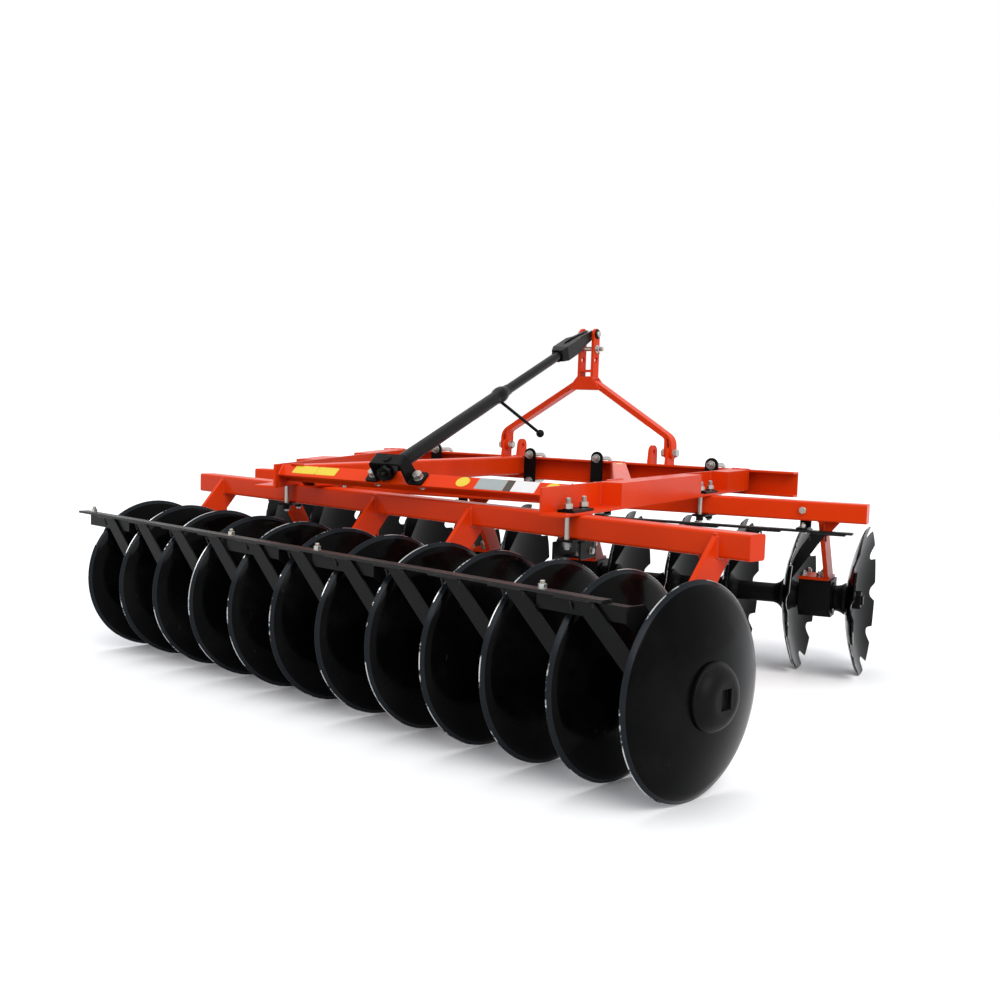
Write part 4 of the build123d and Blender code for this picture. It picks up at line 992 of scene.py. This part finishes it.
dark.add(turned(TUBE_END, 40), lifted(brace, z=tube_start - 0.062))
dark.add(turned(SWAGE, 40), lifted(brace, z=joint - 0.046))
ring = [(YOKE_RING_R * cos(a), YOKE_RING_R * sin(a), 0) for a in np.linspace(0, 2 * pi, 33)]
dark.add(bead(ring, 0.0040), lifted(brace, z=yoke))
dark.piece("brace_fittings", BLACK_SMOOTH, "black_paint", sharp=30)

# ---- scrapers: tabs and black welds under the rails, bolts through them ----

# y and upper face of each rail in its gang's frame
REAR_RAIL, FRONT_RAIL, RAIL_T = (-0.212, 0.515), (-0.268, 0.556), 0.008
TAB_T, TAB_REACH, TAB_END = 0.006, 0.095, 0.008
REAR_BOLT_OFF, HANGER_X, HANGER_BOLT_Z = 0.205, (-1.082, -0.310, 0.310, 1.082), 0.628
# end, frame, the discs' rims, the side they dish to, how far a blade leads its rim, half a blade
RAILS = (
    ("rear", REAR, RIMS[1:], 1, 0.175, 0.0363, REAR_RAIL),
    ("front", FRONT_STRAIGHT, RIMS[:-1], -1, 0.096, 0.0280, FRONT_RAIL),
)
for end, place, rims, side, lead, half, (y, rail_top) in RAILS:
    tabs = Surfaces()
    top, rear = rail_top - RAIL_T, y - 0.0175
    for rim_x in rims:
        blade = rim_x - side * lead
        reach = sorted((blade - side * TAB_REACH, blade + side * half))
        tabs.add(slab(reach, (y - 0.0165, y + 0.0175), (top - TAB_T, top)), place)
        for x in (blade - half, blade + half):
            tabs.add(bead([(x, y - 0.018, top - 0.005), (x, y - 0.009, top - 0.030)], 0.0035), place)
        seam = [(x, rear, top - 0.001) for x in (reach[0] + TAB_END, reach[1] - TAB_END)]
        tabs.add(bead(seam, 0.0034), place)
    tabs.piece(f"scraper_tabs_{end}", RAIL, "rail_steel")

rail_bolts = Surfaces()
for x in LEG_X:
    fastener(rail_bolts, (x - REAR_BOLT_OFF, *REAR_RAIL), (0, 0, 1), 0.0068, 0.009, REAR, 1.8)
for x in HANGER_X:
    above = (x, FRONT_RAIL[0], FRONT_RAIL[1] + RAIL_T)
    behind = (x, -BEAM_Y - BEAM / 2, HANGER_BOLT_Z)
    before = (x, -BEAM_Y + BEAM / 2 + 0.008, HANGER_BOLT_Z)
    for at, facing, radius, spare, washer in (
        (above, (0, 0, 1), 0.0065, 0.006, 1.9),
        (behind, (0, -1, 0), 0.0075, 0, 1.6),
        (before, (0, 1, 0), 0.0075, 0.006, 1.6),
    ):
        fastener(rail_bolts, at, facing, radius, spare, FRONT_STRAIGHT, washer)
rail_bolts.piece("scraper_bolts", ZINC, "zinc", sharp=30)

# ---- blank labels on the slope of the rear cross member and on the diagonal ----

def on_slope(x, share):
    """The layout frame on the slope: x along it, y up it, at a share of the way from lip to apex."""
    y = LIP[0] + (APEX[0] - LIP[0]) * share
    z = LIP[1] + (APEX[1] - LIP[1]) * share
    return PLACE @ frame_of((x, y, z), (1, 0, 0), up_slope, off_slope)


def on_diagonal(distance):
    """The frame on top of the diagonal tube, y along it from its rear end."""
    start, end = np.array(TUBES[1])
    ahead = unit(end - start)
    x, y = start + ahead * distance
    return PLACE @ frame_of((x, y, MEMBER_TOP), (ahead[1], -ahead[0], 0), (*ahead, 0))


FILM_T = 0.0008
OVAL, ROUNDED, SQUARE = 2, 14, 30
# each film: its place, half its width and height, and its corner number
LABELS = (
    ("label_yellow", YELLOW_FILM, (
        (on_slope(-0.469, 0.58), 0.0525, 0.0185, ROUNDED),
        (on_slope(-0.3705, 0.58), 0.0445, 0.0185, ROUNDED),
        (on_slope(0.200, 0.58), 0.0250, 0.0215, OVAL),
        (on_slope(0.532, 0.60), 0.0255, 0.0210, OVAL),
        (on_diagonal(1.18), 0.012, 0.045, ROUNDED),
    )),
    ("label_grey", GREY_FILM, ((on_slope(0.3085, 0.54), 0.0535, 0.0240, SQUARE),)),
    ("label_dark", DARK_FILM, ((on_slope(0.3765, 0.54), 0.0130, 0.0240, SQUARE),)),
    ("label_white", WHITE_FILM, ((on_slope(0.4345, 0.54), 0.0435, 0.0240, SQUARE),)),
)
for name, film, sheets in LABELS:
    films = Surfaces()
    for place, half_x, half_y, corner in sheets:
        films.add(sheet(half_x, half_y, FILM_T, corner), place)
    films.piece(name, film)


# ---- materials on the solids that came with the frame ----

FINISHES = {
    "orange_paint": ORANGE,
    "black_paint": BLACK,
    "disc_black": DISC_BLACK,
    "cast_black": CAST_BLACK,
    "zinc": ZINC_EASED,
    "rail_steel": RAIL,
}
for subpart in frame["record"]["subparts"]:
    shown = frame["nodes"][subpart["node"]]
    shown.data.materials.clear()
    shown.data.materials.append(FINISHES[subpart["material_slot"]])


# ---- floor, lights and camera ----

FLOOR_HALF, FLOOR_Z = 60.0, -0.001


def floor_white():
    """A matt floor, white to the camera and in gloss, paler grey to other light; it keeps shadows."""
    ground = Finish("floor_white")
    where = ground.place()
    speck = ground.noise(where, 3.0, 3.0)
    tone = ground.mix(speck, colour(0.97, 0.97, 0.97), colour(0.98, 0.98, 0.98))
    seen = ground.node("BsdfDiffuse", {}, {"Color": tone})
    other = ground.node("BsdfDiffuse", {}, {"Color": colour(0.68, 0.68, 0.68)})
    mixed = ground.node("MixShader", {}, {0: ground.seen_only(), 1: other, 2: seen})
    ground.node("OutputMaterial", {}, {"Surface": mixed})
    return ground.material


ground_mesh = bpy.data.meshes.new("floor")
corners = [(x * FLOOR_HALF, y * FLOOR_HALF, FLOOR_Z) for x, y in ((-1, -1), (1, -1), (1, 1), (-1, 1))]
ground_mesh.from_pydata(corners, [], [(0, 1, 2, 3)])
ground_mesh.materials.append(floor_white())
floor = bpy.data.objects.new("floor", ground_mesh)
bpy.context.scene.collection.objects.link(floor)
floor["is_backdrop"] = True

world = bpy.data.worlds.new("studio")
bpy.context.scene.world = world
sky = Finish(world)
lit = sky.node("Background", {}, {"Color": colour(0.93, 0.96, 1.0), "Strength": 0.90})
seen = sky.node("Background", {}, {"Color": colour(1, 1, 1), "Strength": 1.0})
mixed = sky.node("MixShader", {}, {0: sky.seen_only(), 1: lit, 2: seen})
sky.node("OutputWorld", {}, {"Surface": mixed})


SUN_SPREAD = radians(40)


def soft_sun(name, toward, strength, tint):
    """A wide soft lamp far away, seen in a direction."""
    lamp = bpy.data.lights.new(name, "SUN")
    lamp.energy = strength
    lamp.angle = SUN_SPREAD
    lamp.color = tint
    made = bpy.data.objects.new(name, lamp)
    bpy.context.scene.collection.objects.link(made)
    made.rotation_euler = Vector(toward).to_track_quat("Z", "Y").to_euler()


soft_sun("key", (0.75, -0.55, 0.75), 1.6, (1.0, 0.985, 0.96))
soft_sun("top", (-0.15, 0.25, 1.0), 0.6, (0.97, 0.99, 1.0))

# where the camera stands, how it is turned, and its lens and sensor in millimetres
CAMERA_PLACE = LAYOUT + np.array((2.511, -3.096, 0.970))
YAW, RISE, ROLL = radians(34.15), radians(-5.15), radians(1.86)
LENS, SENSOR = 45.1602, 36.0
SHIFT = (-0.0008, 0.0182)

ahead = Vector((-sin(YAW) * cos(RISE), cos(YAW) * cos(RISE), sin(RISE)))
right = Vector((cos(YAW), sin(YAW), 0))
up = right.cross(ahead)
right, up = right * cos(ROLL) + up * sin(ROLL), up * cos(ROLL) - right * sin(ROLL)
lens = bpy.data.cameras.new("camera")
lens.sensor_width = SENSOR
lens.lens = LENS
lens.shift_x, lens.shift_y = SHIFT
camera = bpy.data.objects.new("camera", lens)
bpy.context.scene.collection.objects.link(camera)
camera.matrix_world = Matrix((
    (right.x, up.x, -ahead.x, CAMERA_PLACE[0]),
    (right.y, up.y, -ahead.y, CAMERA_PLACE[1]),
    (right.z, up.z, -ahead.z, CAMERA_PLACE[2]),
    (0, 0, 0, 1),
))
bpy.context.scene.camera = camera
bpy.context.scene.view_settings.view_transform = "Standard"

boxes = {"cad": [list(corner) for corner in cad_box], "visual": [list(corner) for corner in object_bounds()]}
